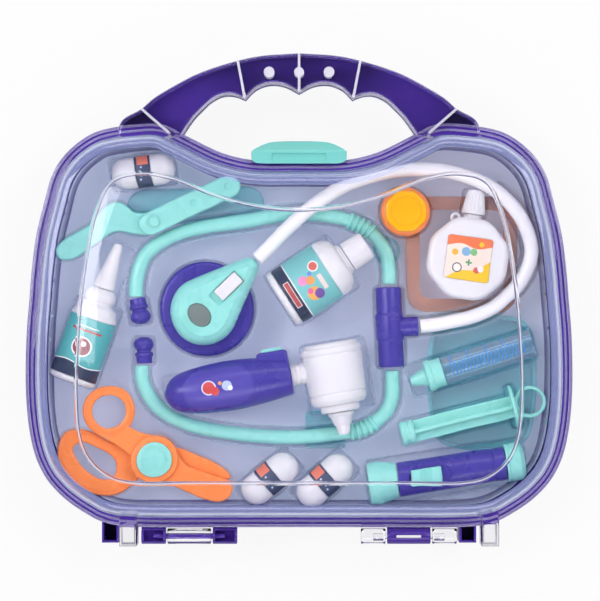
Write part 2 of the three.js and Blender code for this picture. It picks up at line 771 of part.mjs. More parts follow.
const earRoot = flangeEdge - flangeWidth - wall * 1.5;
const pivotRod = (from, to, radius, sides) => (
  rod(from, to, radius, sides).translate([0, latchPivot.y, latchPivot.z])
);
const earHalf = latchEarRadius - clearance;
const earReach = latchEarWidth / 2 + clearance + overrun;
const latchEar = cut(
  join(
    pivotRod(-latchEarWidth / 2, latchEarWidth / 2, earHalf, 14),
    acrossX(
      box(earRoot, latchPivot.z - earHalf, latchPivot.y, latchPivot.z + earHalf),
      -latchEarWidth / 2,
      latchEarWidth / 2,
    ),
  ),
  pivotRod(-latchEarWidth, latchEarWidth, latchPinRadius + clearance, 10),
);
const latchFoot = latchPivot.z - latchEarRadius;
const spineOuter = latchInner + latchSpine + 2 * clearance;
const latchProfile = [
  [latchInner, latchFoot],
  [spineOuter, latchFoot],
  [spineOuter, -flangeThickness],
  [spineOuter + latchCrown, -flangeThickness / 2],
  [spineOuter + latchCrown, flangeThickness / 2],
  [spineOuter + clearance, lipTop],
  [latchNotch, lipTop],
  [latchNotch, shellBase],
  [latchInner, shellBase],
].map(([y, z]) => new THREE.Vector2(y, z));
const latchRoom = acrossX(
  box(
    latchInner - overrun,
    latchFoot - overrun,
    spineOuter + overrun,
    latchPivot.z + latchEarRadius + clearance,
  ),
  -latchEarWidth / 2 - clearance,
  latchEarWidth / 2 + clearance,
);
const latchReach = spineOuter + latchCrown - latchNotch;
const latchSide = latchPlanShares
  .map(([x, y]) => new THREE.Vector2(x * latchHalf, latchNotch + y * latchReach));
const latchPlan = latchSide.concat(latchSide.slice(1, -1).reverse().map((p) => new THREE.Vector2(-p.x, p.y)));
const thumbRecess = prism(
  box(
    -latchHalf * recessWidthShare,
    latchNotch + latchRecess,
    latchHalf * recessWidthShare,
    latchInner + latchSpine * 0.7,
  ),
  lipTop - latchRecess,
  lipTop + overrun,
);
const latchSolid = join(
  cut(
    acrossX(latchProfile, -latchHalf, latchHalf)
      .intersect(prism(latchPlan, latchFoot - overrun, lipTop + overrun)),
    latchRoom,
    thumbRecess,
  ),
  pivotRod(-earReach, earReach, latchPinRadius, 10),
);

// Both shells stand about the parting plane; the rear one is the front one turned half a turn about Y.
const caseGroup = new THREE.Group();
caseGroup.position.z = partingLevel;
model.add(caseGroup);
addPiece('front_shell', cut(plainShell, notch), clearCover, caseGroup);
const rearSolid = plainShell.rotate([0, 180, 0]).add(latchEar);
addPiece('rear_shell', rearSolid, purple, caseGroup);
addPiece('latch', latchSolid, mint, caseGroup);

// Insert card on the rear shell's floor
const insertOutline = inset(wallOutline, cardInset);
const cardLevel = floorLevel + clearance;
addPiece('insert_card', prism(insertOutline, cardLevel, cardLevel + cardThickness), paper);

// Toys of the front layer. Each leaves its pocket in the tray: an outline and the pocket's floor.
const pockets = [];
const roomUnder = (outline, lowest) => pockets.push({ outline, floor: lowest - clearance });

// A point of a turned group, in the case's plane.
function spot(place, degrees, along, aside = 0) {
  const angle = THREE.MathUtils.degToRad(degrees);
  return new THREE.Vector2(
    place.x + along * Math.cos(angle) - aside * Math.sin(angle),
    place.y + along * Math.sin(angle) + aside * Math.cos(angle),
  );
}

function pocketBox(place, degrees, from, to, radius, lowest) {
  const room = radius + pocketMargin;
  const corners = box(from - pocketMargin, -room, to + pocketMargin, room);
  roomUnder(corners.map((p) => spot(place, degrees, p.x, p.y)), lowest);
}

function pocketAlong(place, degrees, from, to, radius, lowest) {
  const room = radius + pocketMargin;
  roomUnder(stadium(spot(place, degrees, from), spot(place, degrees, to), room, 4), lowest);
}

// Capsules: a white pill with a label band round its middle
const pocketDepth = 9;
const lowestToy = trayLevel - pocketDepth;
capsulePlaces.forEach(({ centreShare, turn }, i) => {
  const place = at(centreShare);
  const holder = group(place, lowestToy + capsuleRadius, turn);
  const half = capsuleLength / 2;
  const band = turned([
    [-capsuleBandWidth / 2, capsuleRadius - labelThickness],
    [-capsuleBandWidth / 2, capsuleRadius + labelThickness / 2],
    [capsuleBandWidth / 2, capsuleRadius + labelThickness / 2],
    [capsuleBandWidth / 2, capsuleRadius - labelThickness],
    [-capsuleBandWidth / 2, capsuleRadius - labelThickness],
  ], 14);
  const bandRoom = turned([
    [-capsuleBandWidth / 2 - clearance, capsuleRadius - labelThickness - clearance],
    [-capsuleBandWidth / 2 - clearance, capsuleRadius + overrun],
    [capsuleBandWidth / 2 + clearance, capsuleRadius + overrun],
    [capsuleBandWidth / 2 + clearance, capsuleRadius - labelThickness - clearance],
    [-capsuleBandWidth / 2 - clearance, capsuleRadius - labelThickness - clearance],
  ], 14);
  addPiece(`capsule_${i + 1}`, cut(pill(-half, half, capsuleRadius, 14, 3), bandRoom), white, holder);
  addPiece(`capsule_${i + 1}_band`, band, navyLabel, holder);
  pocketAlong(place, turn, -half + capsuleRadius, half - capsuleRadius, capsuleRadius, lowestToy);
});

// A thin label sleeve round a turned body, seated in a shallow step of the body.
function sleeve(from, to, radius, sides) {
  return turned([
    [from, radius - labelThickness],
    [from, radius + labelThickness / 2],
    [to, radius + labelThickness / 2],
    [to, radius - labelThickness],
    [from, radius - labelThickness],
  ], sides);
}

function sleeveStep(from, to, radius, sides) {
  return turned([
    [from - clearance, radius - labelThickness - clearance],
    [from - clearance, radius + overrun],
    [to + clearance, radius + overrun],
    [to + clearance, radius - labelThickness - clearance],
    [from - clearance, radius - labelThickness - clearance],
  ], sides);
}

// Eye-drops bottle: moulded body, pressed-in nozzle, label sleeve
const dropsPlace = at(dropsBottomShare);
const drops = group(dropsPlace, lowestToy + dropsRadius, dropsTurn);
const dropsCorner = dropsRadius / 6;
const dropsBody = turned([
  [0, 0],
  [0, dropsRadius - dropsCorner],
  [dropsCorner, dropsRadius],
  [dropsLength - dropsCorner * 2, dropsRadius],
  [dropsLength, dropsShoulder],
  [dropsLength + dropsCorner * 2, dropsBulbRadius],
  [dropsLength + dropsBulbRadius, dropsBulbRadius - clearance],
  [dropsLength + dropsBulbRadius * 1.5, nozzleRadius],
  [dropsLength + dropsBulbRadius * 1.5, 0],
], 16);
const dropsNozzle = turned([
  [0, 0],
  [0, nozzleRadius],
  [nozzleLength / 6, nozzleRadius - clearance],
  [nozzleLength - nozzleTipRadius / 2, nozzleTipRadius],
  [nozzleLength, nozzleTipRadius / 2],
  [nozzleLength, 0],
], 14).translate([dropsLength + dropsBulbRadius * 1.5 + clearance, 0, 0]);
const dropsLabelStart = dropsCorner * 1.5;
addPiece(
  'drops_bottle',
  cut(dropsBody, sleeveStep(dropsLabelStart, dropsLabelStart + dropsLabelLength, dropsRadius, 16)),
  white,
  drops,
);
addPiece('drops_nozzle', dropsNozzle, white, drops);
addPiece(
  'drops_label',
  sleeve(dropsLabelStart, dropsLabelStart + dropsLabelLength, dropsRadius, 16),
  tealLabel,
  drops,
);
pocketBox(dropsPlace, dropsTurn, 0, dropsLength + dropsCorner * 2, dropsRadius, lowestToy);
pocketAlong(
  dropsPlace,
  dropsTurn,
  dropsLength,
  dropsLength + nozzleLength,
  dropsBulbRadius,
  lowestToy + dropsRadius / 3,
);

// Pill bottle: round body, screw cap, label sleeve
const pillPlace = at(pillBottomShare);
const pillBottle = group(pillPlace, lowestToy + pillBottleRadius, pillTurn);
const pillCorner = pillBottleRadius / 8;
const pillShoulder = pillBottleLength + pillCorner * 2;
const pillNeckEnd = pillShoulder + pillNeckLength;
const pillBody = turned([
  [0, 0],
  [0, pillBottleRadius - pillCorner],
  [pillCorner, pillBottleRadius],
  [pillBottleLength - pillCorner, pillBottleRadius],
  [pillBottleLength, pillBottleRadius - pillCorner / 2],
  [pillShoulder, pillNeckRadius + pillCorner],
  [pillShoulder, pillNeckRadius],
  [pillNeckEnd, pillNeckRadius],
  [pillNeckEnd, pillSpoutRadius],
  [pillNeckEnd + spoutLength, pillSpoutRadius],
  [pillNeckEnd + spoutLength, 0],
], 18);
const pillLabelStart = pillCorner * 2;
addPiece(
  'pill_bottle',
  cut(pillBody, sleeveStep(pillLabelStart, pillLabelStart + pillLabelLength, pillBottleRadius, 18)),
  white,
  pillBottle,
);
addPiece(
  'pill_bottle_label',
  sleeve(pillLabelStart, pillLabelStart + pillLabelLength, pillBottleRadius, 18),
  tealLabel,
  pillBottle,
);
const pillCap = turned([
  [spoutLength + clearance, 0],
  [spoutLength + clearance, pillSpoutRadius + clearance],
  [0, pillSpoutRadius + clearance],
  [0, pillCapRadius],
  [pillCapLength - pillCorner / 2, pillCapRadius - clearance],
  [pillCapLength, pillCapRadius - pillCorner / 2],
  [pillCapLength, 0],
], 16).translate([pillNeckEnd + clearance, 0, 0]);
addPiece('pill_bottle_cap', pillCap, white, pillBottle);
pocketBox(pillPlace, pillTurn, 0, pillShoulder, pillBottleRadius, lowestToy);
pocketBox(
  pillPlace,
  pillTurn,
  pillShoulder,
  pillNeckEnd + pillCapLength,
  pillCapRadius,
  lowestToy + pillBottleRadius - pillCapRadius,
);

// Flat round bottle with a ribbed cap, a hanging tab and a front label
const flatPlace = at(flatBottleShare);
const flatCentre = lowestToy + flatBottleThickness / 2;
const flatBottle = group(flatPlace, flatCentre, flatBottleTurn);
const flatRadius = flatBottleWidth / 2;
const flatHalf = flatBottleThickness / 2;
const flatOutline = roundedBox(flatBottleWidth, flatBottleWidth, flatRadius * 0.62, 4);
const flatBody = prism(flatOutline, -flatHalf, flatHalf, flatHalf * 0.3);
const flatNeck = turned([
  [flatRadius - wall, 0],
  [flatRadius - wall, flatNeckRadius],
  [flatRadius + wall, flatNeckRadius],
  [flatRadius + wall, flatSpoutRadius],
  [flatRadius + wall + spoutLength, flatSpoutRadius],
  [flatRadius + wall + spoutLength, 0],
], 14).rotate([0, 0, quarterTurn]);
const flatSeat = prism(
  roundedBox(flatLabelWidth + 2 * clearance, flatLabelHeight + 2 * clearance, wall),
  flatHalf - labelThickness,
  flatHalf + overrun,
);
const tabPlace = new THREE.Vector2(-flatNeckRadius * 1.9, flatRadius - ringTabRadius / 2);
const tab = cut(
  prism(circle(tabPlace, ringTabRadius * 1.3, 10), -wall / 2, wall / 2),
  prism(circle(tabPlace, ringTabRadius * 0.6, 8), -wall, wall),
);
addPiece('flat_bottle', cut(join(flatBody, flatNeck, tab), flatSeat), white, flatBottle);
addPiece(
  'flat_bottle_label',
  prism(
    roundedBox(flatLabelWidth, flatLabelHeight, wall),
    flatHalf - labelThickness + clearance,
    flatHalf + clearance,
  ),
  paleLabel,
  flatBottle,
);
const flatCap = turned([
  [spoutLength + clearance, 0],
  [spoutLength + clearance, flatSpoutRadius + clearance],
  [0, flatSpoutRadius + clearance],
  [0, flatCapRadius],
  [flatCapLength * 0.6, flatCapRadius * 0.92],
  [flatCapLength * 0.62, flatCapRadius * 0.78],
  [flatCapLength, flatCapRadius * 0.7],
  [flatCapLength, 0],
], 16).translate([flatRadius + wall + clearance, 0, 0]).rotate([0, 0, quarterTurn]);
addPiece('flat_bottle_cap', flatCap, white, flatBottle);
roomUnder(
  roundedBox(flatBottleWidth + 2 * pocketMargin, flatBottleWidth + 2 * pocketMargin, flatRadius * 0.62, 4)
    .map((p) => spot(flatPlace, flatBottleTurn, p.x, p.y)),
  lowestToy,
);

pocketBox(
  flatPlace,
  flatBottleTurn + quarterTurn,
  flatRadius,
  flatRadius + wall + flatCapLength,
  flatCapRadius,
  flatCentre - flatCapRadius,
);

// Orange lotion bottle standing on its base, with a yellow eight-sided cap
const lotionPlace = at(lotionShare);
const lotion = group(lotionPlace, lowestToy, 0);
const middle = new THREE.Vector2();
const lotionSpout = prism(
  circle(middle, lotionSpoutRadius, 14),
  lotionHeight - overrun,
  lotionHeight + spoutLength,
);
addPiece(
  'lotion_bottle',
  join(prism(circle(middle, lotionRadius, 20), 0, lotionHeight, wall), lotionSpout),
  orange,
  lotion,
);
const yellowCap = cut(
  prism(circle(middle, yellowCapRadius, 8), 0, yellowCapHeight, wall / 2),
  prism(circle(middle, lotionSpoutRadius + clearance, 14), -overrun, spoutLength),
  prism(
    circle(middle, yellowCapRadius * 0.7, 16),
    yellowCapHeight - yellowCapDimple,
    yellowCapHeight + overrun,
  ),
).translate([0, 0, lotionHeight + clearance]);
addPiece('lotion_cap', yellowCap, yellow, lotion);
roomUnder(circle(lotionPlace, lotionRadius + pocketMargin, 16), lowestToy);

// Stethoscope chest-piece: disc, domed body with a neck, slide button and window
const discPlace = at(chestDiscShare);
const chest = group(discPlace, lowestToy, chestTurn);
const discTop = discHeight;
const disc = turned([
  [0, 0],
  [0, discRadius - wall],
  [wall, discRadius],
  [discHeight - wall, discRadius],
  [discHeight, discRadius - wall],
  [discHeight, 0],
], 24).rotate([0, -quarterTurn, 0]);
addPiece('chest_disc', disc, purple, chest);
const pear = stadium(
  new THREE.Vector2(-wall, 0),
  new THREE.Vector2(neckLength - neckRadius, 0),
  domeRadius,
  8,
  neckRadius,
);
const domeBase = discTop + clearance;
const domeTop = domeBase + domeHeight;
const domeSolid = loft([
  level(pear, domeBase),
  level(pear, domeBase + domeHeight * 0.55),
  level(inset(pear, domeHeight * 0.18), domeBase + domeHeight * 0.85),
  level(inset(pear, domeHeight * 0.4), domeTop),
]);
const sliderSeat = domeRadius * 0.95;
const sliderRoom = prism(
  box(
    sliderSeat - sliderLength / 2 - sliderTravel - clearance,
    -sliderWidth / 2 - clearance,
    sliderSeat + sliderLength / 2 + clearance,
    sliderWidth / 2 + clearance,
  ),
  domeTop - sliderHeight * 0.7,
  domeTop + overrun,
);
const windowSeat = -domeRadius * 0.25;
const windowShape = roundedBox(windowWidth, windowLength, windowWidth * 0.4)
  .map((p) => new THREE.Vector2(p.x + windowSeat, p.y));
const windowRoom = prism(
  inset(windowShape, -clearance),
  domeTop - windowHeight,
  domeTop + overrun,
);
addPiece('chest_dome', cut(domeSolid, sliderRoom, windowRoom), mint, chest);
addPiece(
  'chest_window',
  prism(windowShape, domeTop - windowHeight + clearance, domeTop + clearance),
  grey,
  chest,
);
addPiece(
  'chest_slider',
  prism(
    roundedBox(sliderLength, sliderWidth, wall / 2).map((p) => new THREE.Vector2(p.x + sliderSeat, p.y)),
    domeTop - sliderHeight * 0.7 + clearance,
    domeTop + sliderHeight * 0.6,
    clearance,
  ),
  white,
  chest,
);
roomUnder(circle(discPlace, discRadius + pocketMargin, 16), lowestToy);

// Stethoscope connector where the three tubes meet
const earTubeLevel = trayLevel - earTubeRadius * 0.8;
const connectorPlace = at(connectorShare);
const connector = group(connectorPlace, earTubeLevel, connectorTurn);
const connectorHalf = connectorLength / 2;
const connectorBody = turned([
  [-connectorHalf, 0],
  [-connectorHalf, connectorRadius],
  [-connectorBulge / 2, connectorRadius],
  [-connectorBulge / 2, connectorBulgeRadius],
  [connectorBulge / 2, connectorBulgeRadius],
  [connectorBulge / 2, connectorRadius],
  [connectorHalf, connectorNeckRadius * 1.15],
  [connectorHalf, 0],
], 14);
const connectorArm = rod(0, connectorRadius + connectorStub, connectorNeckRadius, 12)
  .rotate([0, 0, quarterTurn]);
addPiece('tube_connector', join(connectorBody, connectorArm), purple, connector);
pocketBox(
  connectorPlace,
  connectorTurn,
  -connectorHalf,
  connectorHalf,
  connectorBulgeRadius,
  earTubeLevel - connectorBulgeRadius,
);

pocketBox(
  connectorPlace,
  connectorTurn + quarterTurn,
  0,
  connectorRadius + connectorStub,
  connectorNeckRadius,
  earTubeLevel - connectorNeckRadius,
);

// Ear tubes: ribbed at their bends, a collar at the connector, ear tips at the far ends
const lift = (shares, height) => shares.map((share) => {
  const p = at(share);
  return new THREE.Vector3(p.x, p.y, height);
});
const upperRoute = lift(upperEarPath, earTubeLevel);
const lowerRoute = lift(lowerEarPath, earTubeLevel);
const routeLength = (route) => new THREE.CatmullRomCurve3(route).getLength();
const ribRun = ribPitch * ribCount;
const lowerRibStart = routeLength(lowerRoute) - lowerRibLead;
addPiece(
  'ear_tube_upper',
  bentTube(upperRoute, earTubeRadius, 28, 8, [[upperRibStart, upperRibStart + ribRun]]),
  mint,
);
addPiece(
  'ear_tube_lower',
  bentTube(lowerRoute, earTubeRadius, 29, 8, [[lowerRibStart, lowerRibStart + ribRun]]),
  mint,
);
function groove(route, samples) {
  const flat = route.map((p) => new THREE.Vector2(p.x, p.y));
  const room = earTubeRadius + ribRise + pocketMargin;
  roomUnder(ribbon(flat, room, samples, pocketMargin), earTubeLevel - earTubeRadius - ribRise);
}
groove(upperRoute, 16);
groove(lowerRoute, 16);

function earTip(name, share, degrees) {
  const place = at(share);
  const tip = group(place, earTubeLevel, degrees);
  const body = turned([
    [0, 0],
    [0, earStemRadius],
    [earStemLength * 0.7, earStemRadius],
    [earStemLength, earTipRadius * 0.85],
    [earStemLength + earTipRadius * 0.45, earTipRadius],
    [earTipLength - earTipRadius * 0.3, earTipRadius * 0.8],
    [earTipLength, earTipRadius * 0.3],
    [earTipLength, 0],
  ], 12);
  addPiece(name, body, purple, tip);
  pocketAlong(
    place,
    degrees,
    earStemLength / 2,
    earTipLength - earTipRadius / 2,
    earTipRadius,
    earTubeLevel - earTipRadius,
  );
}
earTip('ear_tip_upper', upperEarTipShare, -80);
earTip('ear_tip_lower', lowerEarTipShare, 92);

// White chest tube from the dome's neck over the ear tube to the connector's arm
const chestTubeLow = earTubeLevel;
const chestTubeHigh = earTubeLevel + earTubeRadius + chestTubeRadius + 2 * clearance;
const neckLevel = lowestToy + domeBase + domeHeight * 0.5;
const chestHeights = chestPath.map((_, i) => {
  const count = chestPath.length - 1;
  const down = THREE.MathUtils.smoothstep(i, count * 0.45, count * 0.98);
  const up = THREE.MathUtils.smoothstep(i, 0, 3);
  return THREE.MathUtils.lerp(THREE.MathUtils.lerp(neckLevel, chestTubeHigh, up), chestTubeLow, down);
});
const chestRoute = chestPath.map((share, i) => {
  const p = at(share);
  return new THREE.Vector3(p.x, p.y, chestHeights[i]);
});
addPiece('chest_tube', bentTube(chestRoute, chestTubeRadius, 36, 8), white);
const stubStart = new THREE.Vector3(connectorPlace.x, chestRoute.at(-1).y, chestTubeLow);
groove([...chestRoute.slice(-13), stubStart], 12);

// Otoscope: grip with a badge and a push button, head with its cone
const scopePlace = at(scopeEndShare);
const scopeLevel = lowestToy + scopeHeadRadius;
const scope = group(scopePlace, scopeLevel, scopeTurn);
const gripBody = (sink) => turned(gripShares.map(([along, out]) => [
  along * scopeGripLength,
  out > 0 ? out * scopeGripRadius - sink : 0,
]), 16);
const badgeMiddle = scopeGripLength * 0.43;
const badgeShape = roundedBox(badgeLength, badgeWidth, badgeWidth * 0.48, 4)
  .map((p) => new THREE.Vector2(p.x + badgeMiddle, p.y));
const badgeRoom = cut(
  prism(inset(badgeShape, -clearance), 0, scopeGripRadius + overrun),
  gripBody(badgeThickness + clearance),
);
const badge = cut(
  prism(badgeShape, 0, scopeGripRadius + overrun).intersect(gripBody(0)),
  gripBody(badgeThickness),
);
const buttonMiddle = scopeGripLength - scopeButtonLength * 0.7;
const buttonBase = scopeGripRadius - buttonTravel - clearance;
const buttonTop = scopeGripRadius + scopeButtonHeight;
const gripSide = (outline, from, to) => prism(outline, from, to).rotate([-quarterTurn, 0, 0]);
const alongGrip = (outline) => outline.map((p) => new THREE.Vector2(p.x + buttonMiddle, p.y));
const buttonShape = alongGrip(roundedBox(scopeButtonLength, scopeButtonWidth, wall));
const buttonHousing = gripSide(
  alongGrip(roundedBox(scopeButtonLength * 1.5, scopeGripRadius, wall)),
  0,
  scopeGripRadius + scopeHousingRise,
);
const buttonRoom = gripSide(
  inset(buttonShape, -clearance),
  buttonBase - buttonTravel - clearance,
  scopeGripRadius + scopeButtonHeight * 2,
);
const gripTrim = rod(-overrun, scopeGripLength, scopeGripRadius * 1.6, 16);
addPiece(
  'otoscope_grip',
  cut(join(gripBody(0), buttonHousing.intersect(gripTrim)), badgeRoom, buttonRoom),
  purple,
  scope,
);
addPiece('otoscope_badge', badge, plastic('#4b4596'), scope);
addPiece('otoscope_button', gripSide(buttonShape, buttonBase, buttonTop), mint, scope);
const neckEnd = scopeGripLength + scopeNeckRadius * 1.4;
const headMiddle = neckEnd + scopeHeadRadius * 0.92;
const headTurned = turned([
  [-scopeHeadLength * 0.42, 0],
  [-scopeHeadLength * 0.42, scopeRingRadius],
  [-scopeHeadLength * 0.32, scopeHeadRadius],
  [scopeHeadLength * 0.5, scopeHeadRadius * 0.92],
  [scopeHeadLength * 0.58, scopeHeadRadius * 0.84],
  [scopeHeadLength * 0.58, scopeShoulderRadius],
  [scopeHeadLength * 0.7, scopeShoulderRadius * 0.93],
  [scopeHeadLength * 0.7, 0],
], 18).rotate([0, 0, -quarterTurn]).translate([headMiddle, 0, 0]);
const scopeNeck = rod(scopeGripLength + clearance, headMiddle, scopeNeckRadius, 12);
addPiece('otoscope_head', join(headTurned, scopeNeck), white, scope);
const cone = turned([
  [0, 0],
  [0, coneRadius],
  [coneLength - clearance, coneTipRadius],
  [coneLength, coneTipRadius * 0.6],
  [coneLength, 0],
], 12).rotate([0, 0, -quarterTurn]).translate([headMiddle, -scopeHeadLength * 0.7 - clearance, 0]);
addPiece('otoscope_cone', cone, white, scope);
pocketAlong(
  scopePlace,
  scopeTurn,
  scopeGripRadius,
  scopeGripLength - scopeGripRadius / 2,
  scopeGripRadius,
  scopeLevel - scopeGripRadius,
);
pocketBox(scopePlace, scopeTurn, scopeGripLength, headMiddle, scopeNeckRadius, scopeLevel - scopeNeckRadius);
const headPlace = spot(scopePlace, scopeTurn, headMiddle);
pocketBox(
  headPlace,
  scopeTurn - quarterTurn,
  -scopeHeadLength * 0.42,
  scopeHeadLength * 0.7,
  scopeHeadRadius,
  lowestToy,
);
pocketBox(
  headPlace,
  scopeTurn - quarterTurn,
  scopeHeadLength * 0.7,
  scopeHeadLength * 0.7 + coneLength,
  coneRadius,
  scopeLevel - coneRadius,
);

// Torch: head, body with a slide switch, tail cap
const torchPlace = at(torchShare);
const torchLevel = lowestToy + torchHeadRadius;
const torch = group(torchPlace, torchLevel, torchTurn);
const torchHead = turned([
  [0, 0],
  [0, torchHeadRadius * 0.94],
  [torchHeadLength * 0.35, torchHeadRadius],
  [torchHeadLength, torchRadius * 1.02],
  [torchHeadLength, 0],
], 16);
const torchBodyEnd = torchHeadLength + clearance + torchBodyLength;
const switchMiddle = torchHeadLength + torchSwitchLength * 0.92;
const switchFloor = torchRadius - torchSwitchHeight * 0.55;
const switchRoom = prism(
  box(
    switchMiddle - torchSwitchLength / 2 - clearance,
    -torchSwitchWidth / 2 - clearance,
    switchMiddle + torchSwitchLength / 2 + torchTravel + 2 * clearance,
    torchSwitchWidth / 2 + clearance,
  ),
  switchFloor,
  torchRadius + overrun,
);
const torchTube = turned([
  [torchHeadLength + clearance, 0],
  [torchHeadLength + clearance, torchRadius],
  [torchBodyEnd, torchRadius * 0.98],
  [torchBodyEnd, 0],
], 16);
addPiece('torch_head', torchHead, mint, torch);
addPiece('torch_body', cut(torchTube, switchRoom), purple, torch);
addPiece(
  'torch_switch',
  prism(
    roundedBox(torchSwitchLength, torchSwitchWidth, wall)
      .map((p) => new THREE.Vector2(p.x + switchMiddle, p.y)),
    switchFloor + clearance,
    switchFloor + clearance + torchSwitchHeight,
    clearance,
  ),
  mint,
  torch,
);
const torchTail = turned([
  [torchBodyEnd + clearance, 0],
  [torchBodyEnd + clearance, torchTailRadius],
  [torchBodyEnd + torchTailLength * 0.75, torchTailRadius],
  [torchBodyEnd + torchTailLength, torchTailRadius * 0.8],
  [torchBodyEnd + torchTailLength, 0],
], 16);
addPiece('torch_tail', torchTail, mint, torch);
pocketBox(torchPlace, torchTurn, 0, torchBodyEnd + torchTailLength, torchHeadRadius, lowestToy);

// Syringe: clear barrel with a collar and nozzle; its plunger lies beside it
const barrelPlace = at(barrelShare);
const barrelLevel = lowestToy + barrelRadius + wall;
const syringe = group(barrelPlace, barrelLevel, barrelTurn);
const collar = turned([
  [-syringeTipLength, 0],
  [-syringeTipLength, syringeTipRadius * 0.6],
  [-syringeTipLength + wall / 2, syringeTipRadius],
  [-wall, syringeTipRadius],
  [0, barrelRadius * 0.85],
  [0, barrelRadius + wall / 2],
  [syringeCollarLength, barrelRadius + wall / 2],
  [syringeCollarLength, 0],
], 16);
addPiece('syringe_nozzle', collar, mint, syringe);
const barrelStart = syringeCollarLength + clearance;
const barrelEnd = barrelStart + barrelLength;
const barrel = turned([
  [barrelStart, 0],
  [barrelStart, barrelRadius],
  [barrelEnd, barrelRadius],
  [barrelEnd, barrelRadius - barrelWall],
  [barrelStart + barrelWall, barrelRadius - barrelWall],
  [barrelStart + barrelWall, 0],
], 16);
addPiece('syringe_barrel', barrel, clearBarrel, syringe);
pocketBox(
  barrelPlace,
  barrelTurn,
  -syringeTipLength,
  barrelEnd,
  barrelRadius + wall / 2,
  lowestToy + wall / 2,
);

const plungerPlace = at(plungerShare);
const plungerLevel = lowestToy + plungerFlangeRadius;
const plungerHolder = group(plungerPlace, plungerLevel, plungerTurn);
const rodEnd = plungerHeadLength + plungerRodLength;
const plungerHead = turned([
  [0, 0],
  [0, plungerHeadRadius - wall / 2],
  [wall / 2, plungerHeadRadius],
  [plungerHeadLength, plungerHeadRadius],
  [plungerHeadLength, 0],
], 16);
const fins = [0, quarterTurn].map((tilt) => prism(
  box(plungerHeadLength - overrun, -plungerRodWidth / 2, rodEnd + overrun, plungerRodWidth / 2),
  -plungerFin / 2,
  plungerFin / 2,
).rotate([tilt, 0, 0]));
const flange = rod(rodEnd, rodEnd + plungerFlangeThickness, plungerFlangeRadius, 16);
const ringMiddle = { x: rodEnd + plungerFlangeThickness + plungerRingRadius * 0.94, y: 0 };
const pullRing = cut(
  prism(circle(ringMiddle, plungerRingRadius, 16), -plungerFin, plungerFin, clearance * 2),
  prism(circle(ringMiddle, plungerRingHole, 16), -plungerFin - overrun, plungerFin + overrun),
);
addPiece('syringe_plunger', join(plungerHead, ...fins, flange, cut(pullRing, flange)), mint, plungerHolder);
pocketBox(plungerPlace, plungerTurn, 0, rodEnd, plungerHeadRadius, plungerLevel - plungerHeadRadius);
roomUnder(
  stadium(
    spot(plungerPlace, plungerTurn, rodEnd),
    spot(plungerPlace, plungerTurn, rodEnd + plungerFlangeThickness),
    plungerFlangeRadius + pocketMargin,
    6,
  ),
  lowestToy,
);

// Scissors: the loop half below, the ring half with the hub above, a hub cap on a rivet through both
const upperPlate = earTubeLevel + earTubeRadius + clearance;
const lowerPlate = upperPlate - clearance - bladeThickness;
const hubPlace = at(hubShare);
const ringPlace = at(ringCentreShare);
const plateHole = circle(hubPlace, rivetRadius + clearance, 12);
const loopHole = smoothLoop(loopHoleShares.map(at), 16);
const loopHalf = cut(
  join(
    prism(smoothLoop(loopOuterShares.map(at), 24), lowerPlate, upperPlate - clearance, wall / 3),
    prism(circle(hubPlace, hubRadius, 18), lowerPlate, upperPlate - clearance),
    prism(rearBladeShares.map(at), lowerPlate, upperPlate - clearance),
  ),
  prism(loopHole, lowerPlate - overrun, upperPlate + overrun),
  prism(plateHole, lowerPlate - overrun, upperPlate + overrun),
);
addPiece('scissor_loop_half', loopHalf, orange);
const ringHalf = cut(
  join(
    prism(circle(ringPlace, scissorRingRadius, 20), upperPlate, upperPlate + bladeThickness, wall / 3),
    prism(ringNeckShares.map(at), upperPlate, upperPlate + bladeThickness),
    prism(circle(hubPlace, hubRadius, 18), upperPlate, upperPlate + bladeThickness + hubRise, wall / 3),
    prism(frontBladeShares.map(at), upperPlate, upperPlate + bladeThickness),
  ),
  prism(circle(ringPlace, scissorRingHole, 18), upperPlate - overrun, upperPlate + bladeThickness + overrun),
  prism(plateHole, upperPlate - overrun, upperPlate + bladeThickness * 2 + hubRise),
);
addPiece('scissor_ring_half', ringHalf, orange);
const hubTop = upperPlate + bladeThickness + hubRise;
addPiece(
  'scissor_rivet',
  join(
    prism(circle(hubPlace, rivetRadius, 12), lowerPlate, hubTop + hubCapRise),
    prism(circle(hubPlace, hubCapRadius, 20), hubTop + clearance, hubTop + clearance + hubCapRise, clearance),
  ),
  mint,
);
roomUnder(inset(smoothLoop(loopOuterShares.map(at), 14), -pocketMargin), lowerPlate);
roomUnder(circle(hubPlace, hubRadius + pocketMargin, 16), lowerPlate);
roomUnder(inset(rearBladeShares.map(at), -pocketMargin), lowerPlate);

// Forceps: two arms on one rivet, the long arm above
const upperArmLevel = upperPlate;
const lowerArmLevel = upperPlate - clearance - forcepsThickness;
const pivotPlace = at(forcepsPivotShare);
const rivetHole = circle(pivotPlace, forcepsRivetRadius + clearance, 10);
addPiece(
  'forceps_lower_arm',
  cut(
    prism(smoothLoop(lowerArmShares.map(at), 30), lowerArmLevel, upperArmLevel - clearance, clearance * 2),
    prism(rivetHole, lowerArmLevel - overrun, upperArmLevel + overrun),
  ),
  mint,
);
const armStart = pivotPlace.clone().lerp(at(upperArmEndShare), -0.05);
addPiece(
  'forceps_upper_arm',
  cut(
    prism(
      stadium(armStart, at(upperArmEndShare), forcepsArmRadius, 8),
      upperArmLevel,
      upperArmLevel + forcepsThickness,
      clearance * 2,
    ),
    prism(rivetHole, upperArmLevel - overrun, upperArmLevel + forcepsThickness + overrun),
  ),
  mint,
);
